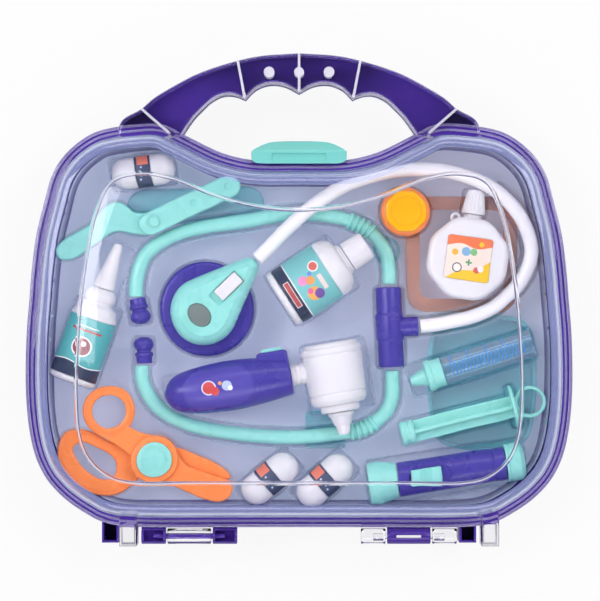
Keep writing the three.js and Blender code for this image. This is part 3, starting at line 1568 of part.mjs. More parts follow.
addPiece(
  'forceps_rivet',
  join(
    prism(
      circle(pivotPlace, forcepsRivetRadius, 10),
      lowerArmLevel,
      upperArmLevel + forcepsThickness + clearance * 2,
    ),
    prism(
      circle(pivotPlace, forcepsRivetRadius * 1.5, 12),
      upperArmLevel + forcepsThickness + clearance,
      upperArmLevel + forcepsThickness + clearance * 3,
    ),
  ),
  mint,
);
roomUnder(inset(smoothLoop(lowerArmShares.map(at), 20), -pocketMargin), lowerArmLevel);

// Toys of the rear layer, on the insert card
const rearToyLevel = cardLevel + cardThickness + clearance;
const rearToyTop = lowestToy - trayWall - rearToyGap;
const dishLine = smoothLoop(dishShares.map(at), 32);
addPiece(
  'kidney_dish',
  cut(
    prism(dishLine, rearToyLevel, rearToyTop),
    prism(inset(dishLine, rearToyWall), rearToyLevel + rearToyWall, rearToyTop + overrun),
  ),
  teal,
);
addPiece('rear_box', prism(rearBoxShares.map(at), rearToyLevel, rearToyTop, wall), teal);
const [barStart, barEnd] = rearBarShares.map(at);
addPiece(
  'rear_lever',
  prism(stadium(barStart, barEnd, rearLeverRadius, 6), rearToyLevel, rearToyTop, wall),
  teal,
);
const hoopPlace = at(rearHoopShare);
addPiece(
  'rear_hoop',
  cut(
    prism(circle(hoopPlace, rearHoopRadius, 16), rearToyLevel, rearToyTop / 2),
    prism(circle(hoopPlace, rearHoopRadius - rearToyWall, 16), rearToyLevel - overrun, rearToyTop),
  ),
  teal,
);
const framePlace = at(rearFrameShare);
const framed = (shrink) => roundedBox(
  rearFrameWidth - 2 * shrink,
  rearFrameLength - 2 * shrink,
  rearFrameCorner - shrink,
  4,
).map((p) => p.add(framePlace));
addPiece(
  'rear_frame',
  cut(
    prism(framed(0), rearToyLevel, rearToyTop, wall / 2),
    prism(framed(rearFrameRim), rearToyLevel - overrun, rearToyTop + overrun),
  ),
  orange,
);

// Tray: one formed sheet with a skirt that stands on the rear shell's floor and a pocket for each toy
const trayShell = cut(
  stackOf(wallOutline, [[trayInset + trayDraft, floorLevel + clearance], [trayInset, trayLevel]]),
  stackOf(wallOutline, [
    [trayInset + trayDraft + trayWall, floorLevel - overrun],
    [trayInset + trayWall, trayLevel - trayWall],
  ]),
);
const deepPockets = pockets.filter(({ floor }) => floor < trayLevel - trayWall);
const trayReach = stackOf(wallOutline, [[wall + wallDraft + clearance, 0], [wall + wallDraft, partingLevel]]);
const pocketWalls = deepPockets.map(({ outline, floor }) => (
  prism(inset(outline, -trayWall), floor - trayWall, trayLevel).intersect(trayReach)
));
const pocketRooms = deepPockets.map(({ outline, floor }) => prism(outline, floor, trayLevel + overrun));
addPiece('toy_tray', cut(join(trayShell, ...pocketWalls), ...pocketRooms), clearTray);

// The origin is the middle of the case's outline, on the rear face it lies on.
model.position.y = (footEnd - handleTop) / 2;

export default model;
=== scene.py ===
import math
import bpy
import bmesh
import numpy as np
from mathutils import Matrix, Vector


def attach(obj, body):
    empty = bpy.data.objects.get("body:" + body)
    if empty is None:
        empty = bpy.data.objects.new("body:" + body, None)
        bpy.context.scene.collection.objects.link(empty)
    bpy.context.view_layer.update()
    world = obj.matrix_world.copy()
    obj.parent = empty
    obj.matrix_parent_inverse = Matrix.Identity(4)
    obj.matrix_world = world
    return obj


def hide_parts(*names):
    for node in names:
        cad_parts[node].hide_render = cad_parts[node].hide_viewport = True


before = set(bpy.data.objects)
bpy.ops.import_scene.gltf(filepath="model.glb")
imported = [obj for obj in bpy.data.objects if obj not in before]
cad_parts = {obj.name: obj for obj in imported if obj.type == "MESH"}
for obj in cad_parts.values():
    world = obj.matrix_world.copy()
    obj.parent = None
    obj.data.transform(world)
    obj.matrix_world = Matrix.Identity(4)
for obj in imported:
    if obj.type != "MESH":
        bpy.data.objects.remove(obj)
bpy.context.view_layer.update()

# Camera
# It looks straight down on the case, which lies on its rear cover with the handle at the top of the picture.
# Sizes in this file are millimetres unless a name says otherwise.
picture_width, camera_height, sharp_level = 318.4, 1684.0, 34.0
sensor = 36.0
lens = bpy.data.cameras.new("front_camera")
lens.sensor_fit = "HORIZONTAL"
lens.sensor_width = sensor
lens.lens = sensor * (camera_height - sharp_level) / picture_width
camera = bpy.data.objects.new("front_camera", lens)
camera.location = (0.0005, -0.0010, camera_height / 1000)
bpy.context.scene.collection.objects.link(camera)
bpy.context.scene.camera = camera

# Half shells
# Clear polystyrene in front and purple polypropylene behind, two mouldings of one mould turned back to back.
# Each is a thin wall with a flange, a rounded edge, a raised panel, its half of the handle, and hinge knuckles.


def smooth(points, count, closed=True):
    """Evenly spaced points of a smooth curve through the given ones."""
    p = np.asarray(points, float)
    if closed:
        q = np.vstack([p[-1:], p, p[:2]])
    else:
        q = np.vstack([2 * p[:1] - p[1:2], p, 2 * p[-1:] - p[-2:-1]])
    a, b, c, d = q[:-3], q[1:-2], q[2:-1], q[3:]
    gaps = [np.linalg.norm(v - u, axis=1, keepdims=True) ** 0.5 + 1e-9 for u, v in ((a, b), (b, c), (c, d))]
    out = gaps[1] * ((b - a) / gaps[0] - (c - a) / (gaps[0] + gaps[1]) + (c - b) / gaps[1])
    come = gaps[1] * ((c - b) / gaps[1] - (d - b) / (gaps[1] + gaps[2]) + (d - c) / gaps[2])
    t = np.linspace(0, 1, 17)[:-1].reshape(1, -1, 1)
    b, c, out, come = (v[:, None, :] for v in (b, c, out, come))
    line = (2 * t**3 - 3 * t**2 + 1) * b + (t**3 - 2 * t**2 + t) * out
    line = (line + (3 * t**2 - 2 * t**3) * c + (t**3 - t**2) * come).reshape(-1, p.shape[1])
    return spaced(np.vstack([line, line[:1] if closed else p[-1:]]), count, closed)


def spaced(line, count, closed=False):
    """The same line cut into even steps."""
    run = np.concatenate([[0], np.cumsum(np.linalg.norm(np.diff(line, axis=0), axis=1))])
    at = np.linspace(0, run[-1], count + 1 if closed else count)[:count]
    return np.stack([np.interp(at, run, line[:, k]) for k in range(line.shape[1])], axis=1)


def mirrored(half):
    """A closed outline from its right half, which starts and ends on the middle line."""
    half = np.asarray(half, float)
    return np.vstack([half, half[-2:0:-1] * (-1, 1)])


def inset(outline, distance):
    """A closed outline moved inwards by a distance."""
    before = outline - np.roll(outline, 1, axis=0)
    after = np.roll(outline, -1, axis=0) - outline
    before /= np.linalg.norm(before, axis=1, keepdims=True) + 1e-12
    after /= np.linalg.norm(after, axis=1, keepdims=True) + 1e-12
    normal = np.stack([-before[:, 1] - after[:, 1], before[:, 0] + after[:, 0]], axis=1)
    normal /= np.linalg.norm(normal, axis=1, keepdims=True) + 1e-12
    spread = np.maximum(0.5, np.abs(normal[:, 0] * -after[:, 1] + normal[:, 1] * after[:, 0]))
    x, y = outline.T
    turn = np.sign(np.sum(x * np.roll(y, -1) - y * np.roll(x, -1)))
    return outline + normal * (turn * distance / spread)[:, None]


def level(outline, z):
    """An outline as a ring at one height."""
    return np.column_stack([outline, np.full(len(outline), z)])


def skin(name, rings, ends=True):
    """A closed skin over rings of equally many points, with its two ends capped or joined to each other."""
    count, total = len(rings[0]), len(rings)
    faces = []
    for r in range(total - 1 if ends else total):
        low, high = r * count, (r + 1) % total * count
        faces += [(low + i, low + (i + 1) % count, high + (i + 1) % count, high + i) for i in range(count)]
    if ends:
        faces += [tuple(range(count))[::-1], tuple(range((total - 1) * count, total * count))]
    return body_of(name, np.vstack(rings), faces)


def body_of(name, points, faces):
    """A mesh object from points in millimetres, its faces outwards."""
    mesh = bpy.data.meshes.new(name)
    mesh.from_pydata((np.asarray(points) / 1000).tolist(), [], faces)
    form = bmesh.new()
    form.from_mesh(mesh)
    bmesh.ops.recalc_face_normals(form, faces=form.faces)
    form.to_mesh(mesh)
    form.free()
    piece = bpy.data.objects.new(name, mesh)
    bpy.context.scene.collection.objects.link(piece)
    return piece


def worked(piece, how, *tools):
    """The piece joined to, cut by or kept within other solids, which are used up."""
    for tool in tools:
        step = piece.modifiers.new(how, "BOOLEAN")
        step.operation, step.solver, step.object = how, "MANIFOLD", tool
        piece.data = bpy.data.meshes.new_from_object(piece.evaluated_get(bpy.context.evaluated_depsgraph_get()))
        piece.modifiers.clear()
        bpy.data.objects.remove(tool)
    return piece


def slab(name, outline, bottom, top, edge=0.0, steps=4):
    """An outline drawn up from one height to another, its two edges rounded."""
    outline = np.asarray(outline, float)
    rings = []
    for i in range(steps + 1):
        bend = math.pi / 2 * i / steps
        rings.append(level(inset(outline, edge * (1 - math.sin(bend))), bottom + edge * (1 - math.cos(bend))))
    if edge == 0:
        rings = [level(outline, bottom)]
    return skin(name, rings + [ring * (1, 1, -1) + (0, 0, top + bottom) for ring in rings[::-1]])


def oblong(left, low, right, high):
    """A rectangle's corners."""
    return [(left, low), (right, low), (right, high), (left, high)]


def round_angles(count):
    """Even steps round a circle."""
    return np.linspace(0, 2 * math.pi, count + 1)[:-1]


def turned(name, profile, sides=64, ends=True):
    """A turned body along X from distances along and radii; without ends its profile closes on itself."""
    bend = round_angles(sides)
    rings = [np.column_stack([np.full(sides, x), r * np.cos(bend), r * np.sin(bend)]) for x, r in profile]
    return skin(name, rings, ends)


def laid(piece, x, y, z, degrees=0.0, roll=0.0):
    """A piece turned about its own axis, then about the upright, and put down in its place."""
    turn = Matrix.Rotation(math.radians(degrees), 4, "Z") @ Matrix.Rotation(math.radians(roll), 4, "X")
    piece.data.transform(Matrix.Translation((x / 1000, y / 1000, z / 1000)) @ turn)
    piece.data.update()
    return piece


def add(tree, kind, settings=None, links=None):
    """Adds a node to a material, with its settings and what feeds its sockets."""
    node = tree.nodes.new(kind)
    for key, value in (settings or {}).items():
        if isinstance(key, int) or key in node.inputs:
            node.inputs[key].default_value = value
        else:
            setattr(node, key, value)
    for key, source in (links or {}).items():
        tree.links.new(source, node.inputs[key])
    return node


def noise(tree, place, size, detail, roughness=0.5):
    """Cloudy values in a material, with forms of about a size in millimetres."""
    settings = {"Scale": 1000 / size, "Detail": detail, "Roughness": roughness}
    return add(tree, "ShaderNodeTexNoise", settings, {"Vector": place}).outputs["Fac"]


def linear(code):
    """An sRGB hex colour as the linear values a shader takes."""
    parts = [int(code[i:i + 2], 16) / 255 for i in (1, 3, 5)]
    return [*(c / 12.92 if c <= 0.04045 else ((c + 0.055) / 1.055) ** 2.4 for c in parts), 1.0]


def bare(name):
    """A new material with only its output."""
    material = bpy.data.materials.new(name)
    material.use_nodes = True
    material.node_tree.nodes.clear()
    return material, material.node_tree, add(material.node_tree, "ShaderNodeOutputMaterial")


def moulded(name, code, roughness=0.3, flow=6.0, grain=0.02, soft=0.0, paint=None, solid=1.0):
    """Moulded plastic: an even colour with faint flow clouds, a skin that is a little uneven, and soft dents."""
    material, tree, output = bare(name)
    place = add(tree, "ShaderNodeTexCoord").outputs["Object"]
    clouds = noise(tree, place, flow, 3.0)
    shade = add(tree, "ShaderNodeMapRange", {"To Min": 0.965, "To Max": 1.035}, {"Value": clouds})
    colour = add(tree, "ShaderNodeRGB")
    colour.outputs[0].default_value = linear(code)
    base = paint(tree, place, colour.outputs[0]) if paint else colour.outputs[0]
    tinted = add(tree, "ShaderNodeVectorMath", {"operation": "SCALE"}, {0: base, "Scale": shade.outputs[0]})
    skin_rise, waves = noise(tree, place, 0.9, 2.0), noise(tree, place, 14.0, 1.0)
    sheen = add(tree, "ShaderNodeMapRange", {"To Min": roughness * 0.8, "To Max": roughness * 1.2}, {"Value": clouds})
    fine = add(tree, "ShaderNodeBump", {"Strength": grain * 4, "Distance": 0.0001}, {"Height": skin_rise})
    dents = {"Strength": 0.12, "Distance": 0.0006}
    bump = add(tree, "ShaderNodeBump", dents, {"Height": waves, "Normal": fine.outputs[0]})
    surface = add(
        tree,
        "ShaderNodeBsdfPrincipled",
        {"IOR": 1.5, "Subsurface Weight": soft, "Subsurface Scale": 0.002, "Alpha": solid},
        {"Base Color": tinted.outputs[0], "Roughness": sheen.outputs[0], "Normal": bump.outputs[0]},
    )
    tree.links.new(surface.outputs[0], output.inputs["Surface"])
    return material


def clear_plastic(name, code, roughness=0.03, film=False, edge=1.9, waves=0.12, haze=0.16, milk_code="#dfe8ff"):
    """Clear plastic with soft waves: a thick one bends what is behind it; a thin film is faintly milky, and painted
    whiter where it leans, a painted sheen for the bright slivers on its steep walls.
    """
    material, tree, output = bare(name)
    place = add(tree, "ShaderNodeTexCoord").outputs["Object"]
    ripple = noise(tree, place, 22.0, 1.5)
    bump = add(tree, "ShaderNodeBump", {"Strength": waves, "Distance": 0.0008}, {"Height": ripple})
    if film:
        see = add(tree, "ShaderNodeBsdfTransparent", {"Color": linear(code)})
        mirror = {"Color": (1, 1, 1, 1), "Roughness": roughness}
        gloss = add(tree, "ShaderNodeBsdfGlossy", mirror, {"Normal": bump.outputs[0]})
        edge = add(tree, "ShaderNodeFresnel", {"IOR": edge}, {"Normal": bump.outputs[0]})
        sheen = add(tree, "ShaderNodeMixShader", {}, {0: edge.outputs[0], 1: see.outputs[0], 2: gloss.outputs[0]})
        # The milk grows where the film leans: partly faint milkiness, partly a painted sheen for the bright slivers of
        # its steep walls.
        lean = add(tree, "ShaderNodeLayerWeight", {"Blend": 0.5}, {"Normal": bump.outputs[0]})
        span = {"From Min": 0.05, "From Max": 0.85, "To Min": haze, "To Max": haze * 2.6}
        milk_and_painted_sheen = add(tree, "ShaderNodeMapRange", span, {"Value": lean.outputs["Facing"]})
        pale = add(tree, "ShaderNodeBsdfDiffuse", {"Color": linear(milk_code)})
        both = add(tree, "ShaderNodeMixShader", {}, {0: milk_and_painted_sheen.outputs[0], 1: sheen.outputs[0], 2: pale.outputs[0]})
    else:
        surface = add(
            tree,
            "ShaderNodeBsdfPrincipled",
            {"Base Color": linear(code), "Transmission Weight": 1.0, "IOR": 1.5, "Roughness": roughness},
            {"Normal": bump.outputs[0]},
        )
        lamps = add(tree, "ShaderNodeLightPath").outputs["Is Shadow Ray"]
        through = add(tree, "ShaderNodeBsdfTransparent", {"Color": linear(code)})
        both = add(tree, "ShaderNodeMixShader", {}, {0: lamps, 1: surface.outputs[0], 2: through.outputs[0]})
    tree.links.new(both.outputs[0], output.inputs["Surface"])
    return material


def fitted(piece, body, node, slot, material, sharp=32):
    """Finishes a piece: its material, smooth shading between its sharp edges, and the CAD node it stands for."""
    piece.data.materials.clear()
    piece.data.materials.append(material)
    piece.data.shade_smooth()
    piece.data.set_sharp_from_angle(angle=math.radians(sharp))
    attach(piece, body)
    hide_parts(node)
    return piece


parting, wall = 34.0, 1.8
half_gap = 0.15
case_shift = -0.7
rim_half = [
    (0.0, -120.5), (43.0, -120.5), (80.1, -120.5), (95.3, -119.7), (105.1, -117.3), (113.6, -112.8), (122.3, -106.9),
    (128.7, -101.1), (134.3, -94.2), (139.0, -84.9), (141.9, -74.8), (143.8, -62.6), (144.8, -48.8), (144.9, -31.8),
    (144.3, -15.9), (143.0, 0.0), (141.7, 15.9), (139.3, 34.5), (135.1, 51.7), (131.1, 65.8), (125.8, 75.0),
    (117.8, 83.0), (108.8, 88.6), (99.2, 91.3), (87.0, 92.9), (76.4, 93.4), (69.5, 92.1), (63.7, 89.1),
    (56.2, 85.2), (40.9, 78.0), (25.5, 74.3), (0.0, 73.8),
]
panel_half = [
    (0.0, -96.0), (53.6, -96.0), (86.5, -96.0), (98.2, -93.1), (109.0, -84.4), (114.6, -72.2), (116.7, -47.8),
    (115.7, -18.6), (113.6, 5.3), (110.4, 26.5), (106.1, 45.6), (97.6, 62.1), (82.8, 66.3), (65.3, 63.7),
    (44.0, 55.2), (21.8, 49.4), (0.0, 47.5),
]
flange_width = 5.2
rim_line = smooth(mirrored(rim_half), 400)
wall_line = inset(rim_line, flange_width)
panel_line = smooth(mirrored(panel_half), 260)
edge_radius, wall_draft, face = 6.6, 2.0, 32.5


def rounded_wall(thick):
    """The side wall's rings up to the face, at a depth into the wall."""
    rings = []
    for i in range(11):
        bend = math.pi / 2 * i / 10
        radius = edge_radius - thick
        step = wall_draft + thick + radius * (1 - math.cos(bend))
        rings.append(level(inset(wall_line, step), face - thick - radius + radius * math.sin(bend)))
    return rings


def panel_slope(start, foot_level):
    """The rings of the soft step up to the raised panel."""
    shares = np.linspace(0, 1, 9)
    return [level(inset(panel_line, start + 1.9 * t), foot_level + 0.01 + 1.49 * t**2 * (3 - 2 * t)) for t in shares]


handle_lower = [(0.0, 109.3), (8.0, 113.3), (16.0, 113.9), (23.0, 111.2), (28.4, 105.9)]
handle_reach = [(28.4, 105.9), (33.5, 107.9), (39.5, 108.2), (46.0, 105.3), (51.5, 100.3)]
handle_root = [(51.5, 100.3), (55.4, 96.2), (58.8, 91.5), (62.1, 86.5)]
handle_bow = [
    (96.0, 86.5), (93.7, 94.5), (83.3, 100.8), (76.9, 106.4), (66.9, 112.5), (53.6, 119.4), (36.6, 125.2),
    (21.2, 128.7), (0.0, 130.27),
]
handle_half = np.vstack([
    smooth(handle_lower, 18, False),
    smooth(handle_reach, 14, False)[1:],
    smooth(handle_root, 10, False)[1:],
    [(89.7, 82.8)],
    smooth(handle_bow, 50, False),
])
handle_line = mirrored(handle_half)
handle_depth, rib = 11.0, 1.3
rib_ends = [
    ((0, 132), (0, 105)), ((32.6, 127.4), (28.1, 104)), ((-32.6, 127.4), (-28.1, 104)),
    ((84.4, 101.9), (68.5, 88.1)), ((-84.4, 101.9), (-68.5, 88.1)),
]
hinge_y, hinge_x, knuckle_radius = -125.3, 58.2, 4.18
wide_knuckle, narrow_knuckle, knuckle_gap = 23.0, 13.0, 0.9
pin_radius, pin_room = 1.5, 1.8


def rail(ends, width, bottom, top):
    """A straight upright rib between two points."""
    a, b = (np.array(end, float) for end in ends)
    side = np.array([-(b - a)[1], (b - a)[0]]) * width / 2 / np.linalg.norm(b - a)
    return slab("rib", [a - side, b - side, b + side, a + side], bottom, top)


def round_line(x, y, radius, count=40, start=0.0):
    """Points evenly round a circle, the first at an angle in degrees."""
    bend = round_angles(count) + math.radians(start)
    return np.column_stack([x + radius * np.cos(bend), y + radius * np.sin(bend)])


def hinge_rod(x0, x1, radius, edge=0.5):
    """A round bar on the hinge line."""
    profile = [(x0, radius - edge), (x0 + edge * 0.3, radius - edge * 0.3), (x0 + edge, radius)]
    return laid(turned("bar", profile + [(x0 + x1 - x, r) for x, r in profile[::-1]], 40), 0, hinge_y, 0)


def knuckle(x, width):
    """A hinge knuckle and the arm that holds it to the rim."""
    arm = slab("arm", oblong(x - width / 2, hinge_y, x + width / 2, -118.7), half_gap, knuckle_radius)
    return worked(hinge_rod(x - width / 2, x + width / 2, knuckle_radius), "UNION", arm)


def foot(x):
    """A hollow square foot below a lower corner."""
    outline = oblong(x - 4.5, -128.9, x + 4.5, -105.9)
    hollow = slab("hollow", oblong(x - 3.3, -127.7, x + 3.3, -117.4), -1, 22.8, 0.0)
    return worked(slab("foot", outline, half_gap, 24, 0.8), "DIFFERENCE", hollow)


def handle_ribs():
    """The ribs and bosses inside one half of the handle."""
    ribs = [rail(ends, rib, half_gap, handle_depth - 0.4) for ends in rib_ends]
    ribs += [slab("boss", round_line(side * 15.8, 120.2, 2.8), half_gap, handle_depth - 0.4) for side in (-1, 1)]
    ribs += [slab("boss", round_line(0, 120.2, 2.6), half_gap, handle_depth - 0.4)]
    return [worked(one, "INTERSECT", slab("within", inset(handle_line, 0.4), 0, handle_depth)) for one in ribs]


def half_shell(name, within):
    """One shell, its parting plane at height 0 and its face upwards, joined to what it holds within its handle."""
    beads = [
        level(inset(rim_line, step_in), z)
        for step_in, z in (
            (0, half_gap), (0, 1.8), (0.1, 2.05), (0.35, 2.2), (1.5, 2.2), (1.65, 1.7), (2.5, 1.7),
            (2.65, 2.2), (3.9, 2.2),
        )
    ]
    outside = skin(name, [
        *beads, level(inset(wall_line, -0.15), 2.4), level(inset(wall_line, 0.05), 2.9),
        *rounded_wall(0.0),
    ])
    panel = skin("panel", [
        level(inset(panel_line, -0.5), face - 1.0), *panel_slope(-0.5, face),
    ])
    channel = slab("channel", inset(handle_line, wall), -1, handle_depth - wall)
    worked(channel, "DIFFERENCE", slab("body", inset(rim_line, wall), -2, 40))
    handle = worked(slab("handle", handle_line, half_gap, handle_depth, 1.6), "DIFFERENCE", channel)
    wide = knuckle(-hinge_x, wide_knuckle)
    window = slab("window", oblong(-hinge_x - 6.6, hinge_y - 0.75, -hinge_x + 6.6, hinge_y + 0.75), -6, 6)
    worked(wide, "DIFFERENCE", hinge_rod(-hinge_x - 23, -hinge_x + 23, pin_room, 0.1), window)
    pair = (wide_knuckle + narrow_knuckle) / 2 + knuckle_gap
    narrow = [knuckle(hinge_x + side * pair, narrow_knuckle) for side in (-1, 1)]
    for side, one in zip((-1, 1), narrow):
        x, reach = hinge_x + side * pair, narrow_knuckle / 2 - 1.3
        worked(one, "DIFFERENCE", slab("hollow", oblong(x - reach, hinge_y - 2.7, x + reach, hinge_y + 3.2), -6, 1.6))
    pin = hinge_rod(hinge_x - pair, hinge_x + pair, pin_radius, 0.1)
    worked(outside, "UNION", panel, handle, *within, wide, *narrow, pin, foot(-89.6), foot(100.2))
    inside = skin("inside", [level(inset(wall_line, wall), -1), *rounded_wall(wall)])
    dish = skin("dish", [
        level(inset(panel_line, 0.1), face - wall - 1), *panel_slope(0.1, face - wall),
    ])
    return worked(outside, "DIFFERENCE", inside, dish)


latch_edge, latch_pin = 74.5, (77.2, -7)
front = half_shell("front_shell_moulding", [])
worked(front, "DIFFERENCE", slab("notch", oblong(-25.5, latch_edge - 2.7, 25.5, latch_edge + 1), -1, 3.2))
rear = half_shell("rear_shell_moulding", handle_ribs())
rear.data.transform(Matrix.Rotation(math.pi, 4, "Y"))
ear = laid(turned("ear", [(-8, 2.2), (-7.6, 2.7), (7.6, 2.7), (8, 2.2)], 40), 0, *latch_pin)
root = slab("root", oblong(-8, latch_edge - 7.9, 8, 77.2), -9.7, -4.3)
bore = laid(turned("bore", [(-10, 1.6), (10, 1.6)], 32), 0, *latch_pin)
worked(rear, "UNION", worked(worked(ear, "UNION", root), "DIFFERENCE", bore))


# The forms below lie within the clear shell and are no pieces of their own. They are painted light: pale, partly
# see-through surfaces that paint the highlights and sheen that its ribs, rim and wall scatter, so that the edges of the
# clear moulding read.


def flat_ring(outline, near, far, bottom, top):
    """A flat ring between two distances in from an outline."""
    gap = slab("gap", inset(outline, far), bottom - 1, top + 1)
    return worked(slab("band", inset(outline, near), bottom, top), "DIFFERENCE", gap)


handle_edge = flat_ring(handle_line, 0.2, 0.75, 1.2, 8.5)
worked(handle_edge, "DIFFERENCE", slab("body", inset(rim_line, 0.3), -2, 40))
clear_ribs = handle_ribs()
panel_edge = flat_ring(panel_line, 0.5, 1.1, face - 0.6, face + 0.2)
clear_ribs = worked(clear_ribs[0], "UNION", *clear_ribs[1:], handle_edge, panel_edge)
rim_rings = worked(flat_ring(rim_line, 0.25, 1.45, 0.5, 1.6), "UNION", flat_ring(rim_line, 2.85, 4.1, 0.5, 1.9))
lining = worked(
    skin("lining", [level(inset(wall_line, 0.6), 0.4), *rounded_wall(0.6)]),
    "DIFFERENCE",
    skin("inside", [level(inset(wall_line, 1.0), -1), *rounded_wall(1.0)]),
    slab("face", inset(wall_line, 8.5), 20, 40),
)
for shell in (front, rear, clear_ribs, rim_rings, lining):
    laid(shell, 0, case_shift, parting)

# The purple is a slightly soft, glossy polypropylene; the clear cover is crystal polystyrene with a faint violet cast.
purple_shell = moulded("moulded_polypropylene_purple", "#4f2fa0", 0.22, 30.0, soft=0.1)
clear_cover = clear_plastic("moulded_crystal_polystyrene", "#fcfbfe", 0.02, waves=0.04)
fitted(rear, "case", "rear_shell", "purple_shell", purple_shell)
fitted(front, "lid", "front_shell", "clear_cover", clear_cover)
# Painted highlight: a pale, partly see-through white on the clear handle ribs, the handle edge and the panel edge.
rib_painted_highlight = moulded("polystyrene_painted_rib_highlight", "#f4f2fa", 0.3, solid=0.6)
fitted(clear_ribs, "lid", "front_shell", "clear_cover", rib_painted_highlight)
# Painted sheen: pale lavender rings inside the clear flange.
rim_painted_sheen = moulded("polystyrene_painted_rim_sheen", "#b9b1dd", 0.3, solid=0.33)
fitted(rim_rings, "lid", "front_shell", "clear_cover", rim_painted_sheen)
# Painted light: a faint pale lining inside the clear wall that lifts the shade seen through it.
wall_painted_light = moulded("polystyrene_painted_wall_light", "#a9b6e6", 0.3, solid=0.2)
fitted(lining, "lid", "front_shell", "clear_cover", wall_painted_light)

# Insert card
# A pale card lies on the purple floor behind the toys; it is cut to the inside of the shell.
card_stock, tree, output = bare("uncoated_card")
place = add(tree, "ShaderNodeTexCoord").outputs["Object"]
fibres, blotches = noise(tree, place, 0.6, 6.0, 0.7), noise(tree, place, 40.0, 2.0)
tones = {"data_type": "RGBA", 6: linear("#eef4ff"), 7: linear("#f6f2ff")}
shade = add(tree, "ShaderNodeMix", tones, {0: blotches})
bump = add(tree, "ShaderNodeBump", {"Strength": 0.3, "Distance": 0.0001}, {"Height": fibres})
# The weak emission only lifts the card to the lightness it has in the photograph; real card doesn't glow.
paper = add(
    tree,
    "ShaderNodeBsdfPrincipled",
    {"Roughness": 0.85, "Emission Color": linear("#dbe6ff"), "Emission Strength": 0.16},
    {"Base Color": shade.outputs[2], "Normal": bump.outputs[0]},
)
tree.links.new(paper.outputs[0], output.inputs["Surface"])
card = slab("insert_card_sheet", inset(wall_line, 7.4)[::2] + (0, case_shift), 3.6, 4.2)
fitted(card, "case", "insert_card", "card", card_stock)

# Toys of the rear layer
# More toys lie on the card, seen dimly through the tray: a dish, a box, a lever, a hoop and an open frame.
# They are moulded ABS in teal and orange.
rear_floor, rear_top = 4.5, 17.5
teal_abs = moulded("moulded_abs_teal", "#86ecf0", 0.3, 12.0)
teal_toy = ("teal_toy", teal_abs)
pale_orange_abs = moulded("moulded_abs_pale_orange", "#ff9e5c", 0.28, 12.0)
orange_abs = moulded("moulded_abs_orange", "#ff8f4c", 0.28, 12.0, soft=0.08)
orange_toy = ("orange_toy", orange_abs)
dish_line = smooth([
    (70.6, -19.3), (79.1, -10.3), (117.3, -10.3), (124.7, -17.7), (124.7, -70.7), (117.3, -79.2),
    (78.5, -79.2), (70.6, -71.8),
], 120)
dish = worked(
    slab("kidney_dish_moulding", dish_line, rear_floor, rear_top, 0.9),
    "DIFFERENCE",
    slab("hollow", inset(dish_line, 2), rear_floor + 2, rear_top + 2, 1.2),
)
fitted(dish, "case", "kidney_dish", *teal_toy)


def eased(points, radius, closed=True, steps=5):
    """The same line with its corners rounded."""
    p = [np.array(q, float) for q in points]
    out = []
    for i, corner in enumerate(p):
        if not closed and i in (0, len(p) - 1):
            out.append(corner)
            continue
        ends = []
        for other in (p[i - 1], p[(i + 1) % len(p)]):
            gap = np.linalg.norm(other - corner)
            ends.append(corner + (other - corner) * min(radius, gap * 0.48) / max(gap, 1e-9))
        for t in np.linspace(0, 1, steps + 1):
            out.append((1 - t) ** 2 * ends[0] + 2 * t * (1 - t) * corner + t**2 * ends[1])
    return np.array(out)


def capsule_line(x0, y0, x1, y1, r0, r1=None, count=24):
    """The outline round two circles."""
    r1 = r0 if r1 is None else r1
    run = math.hypot(x1 - x0, y1 - y0)
    heading = math.atan2(y1 - y0, x1 - x0)
    lean = math.acos((r0 - r1) / run)
    points = []
    for x, y, r, start, end in ((x1, y1, r1, -lean, lean), (x0, y0, r0, lean, 2 * math.pi - lean)):
        for bend in np.linspace(start, end, count):
            points.append((x + r * math.cos(heading + bend), y + r * math.sin(heading + bend)))
    return np.array(points)


box_line = eased(oblong(2.7, -80.3, 23.9, -60.1), 2.5)
fitted(slab("rear_box_moulding", box_line, rear_floor, rear_top, 1.4), "case", "rear_box", *teal_toy)
lever_line = capsule_line(-83.3, 48.7, -28.1, 50.8, 9.5)
fitted(slab("rear_lever_moulding", lever_line, rear_floor, rear_top, 1.8), "case", "rear_lever", *teal_toy)
hoop = worked(
    slab("rear_hoop_moulding", round_line(46.7, 25.8, 7.5), rear_floor, 8.75, 0.8),
    "DIFFERENCE",
    slab("hole", round_line(46.7, 25.8, 5.5), 3, 12),
)
fitted(hoop, "case", "rear_hoop", *teal_toy)
frame_line = eased(oblong(57, -7.3, 117, 54.7), 12)
orange_frame = worked(
    slab("rear_frame_moulding", frame_line, rear_floor, rear_top, 1.2),
    "DIFFERENCE",
    slab("gap", eased(oblong(64, -0.3, 110, 47.7), 7), 3, 20),
)
fitted(orange_frame, "case", "rear_frame", "orange_toy", pale_orange_abs)

# Tray
# A clear sheet, vacuum-formed over a mould, with a pocket under each toy of the front layer and a skirt to the floor.
# Its walls lean and its edges are soft, and the film is painted whiter where it leans, so they show as thin bright
# slivers: a painted highlight on top of their real gloss.
tray_level, skirt_foot = 30.0, 3.7
tray_line = inset(wall_line, 6.2)[::2] + (0, case_shift)


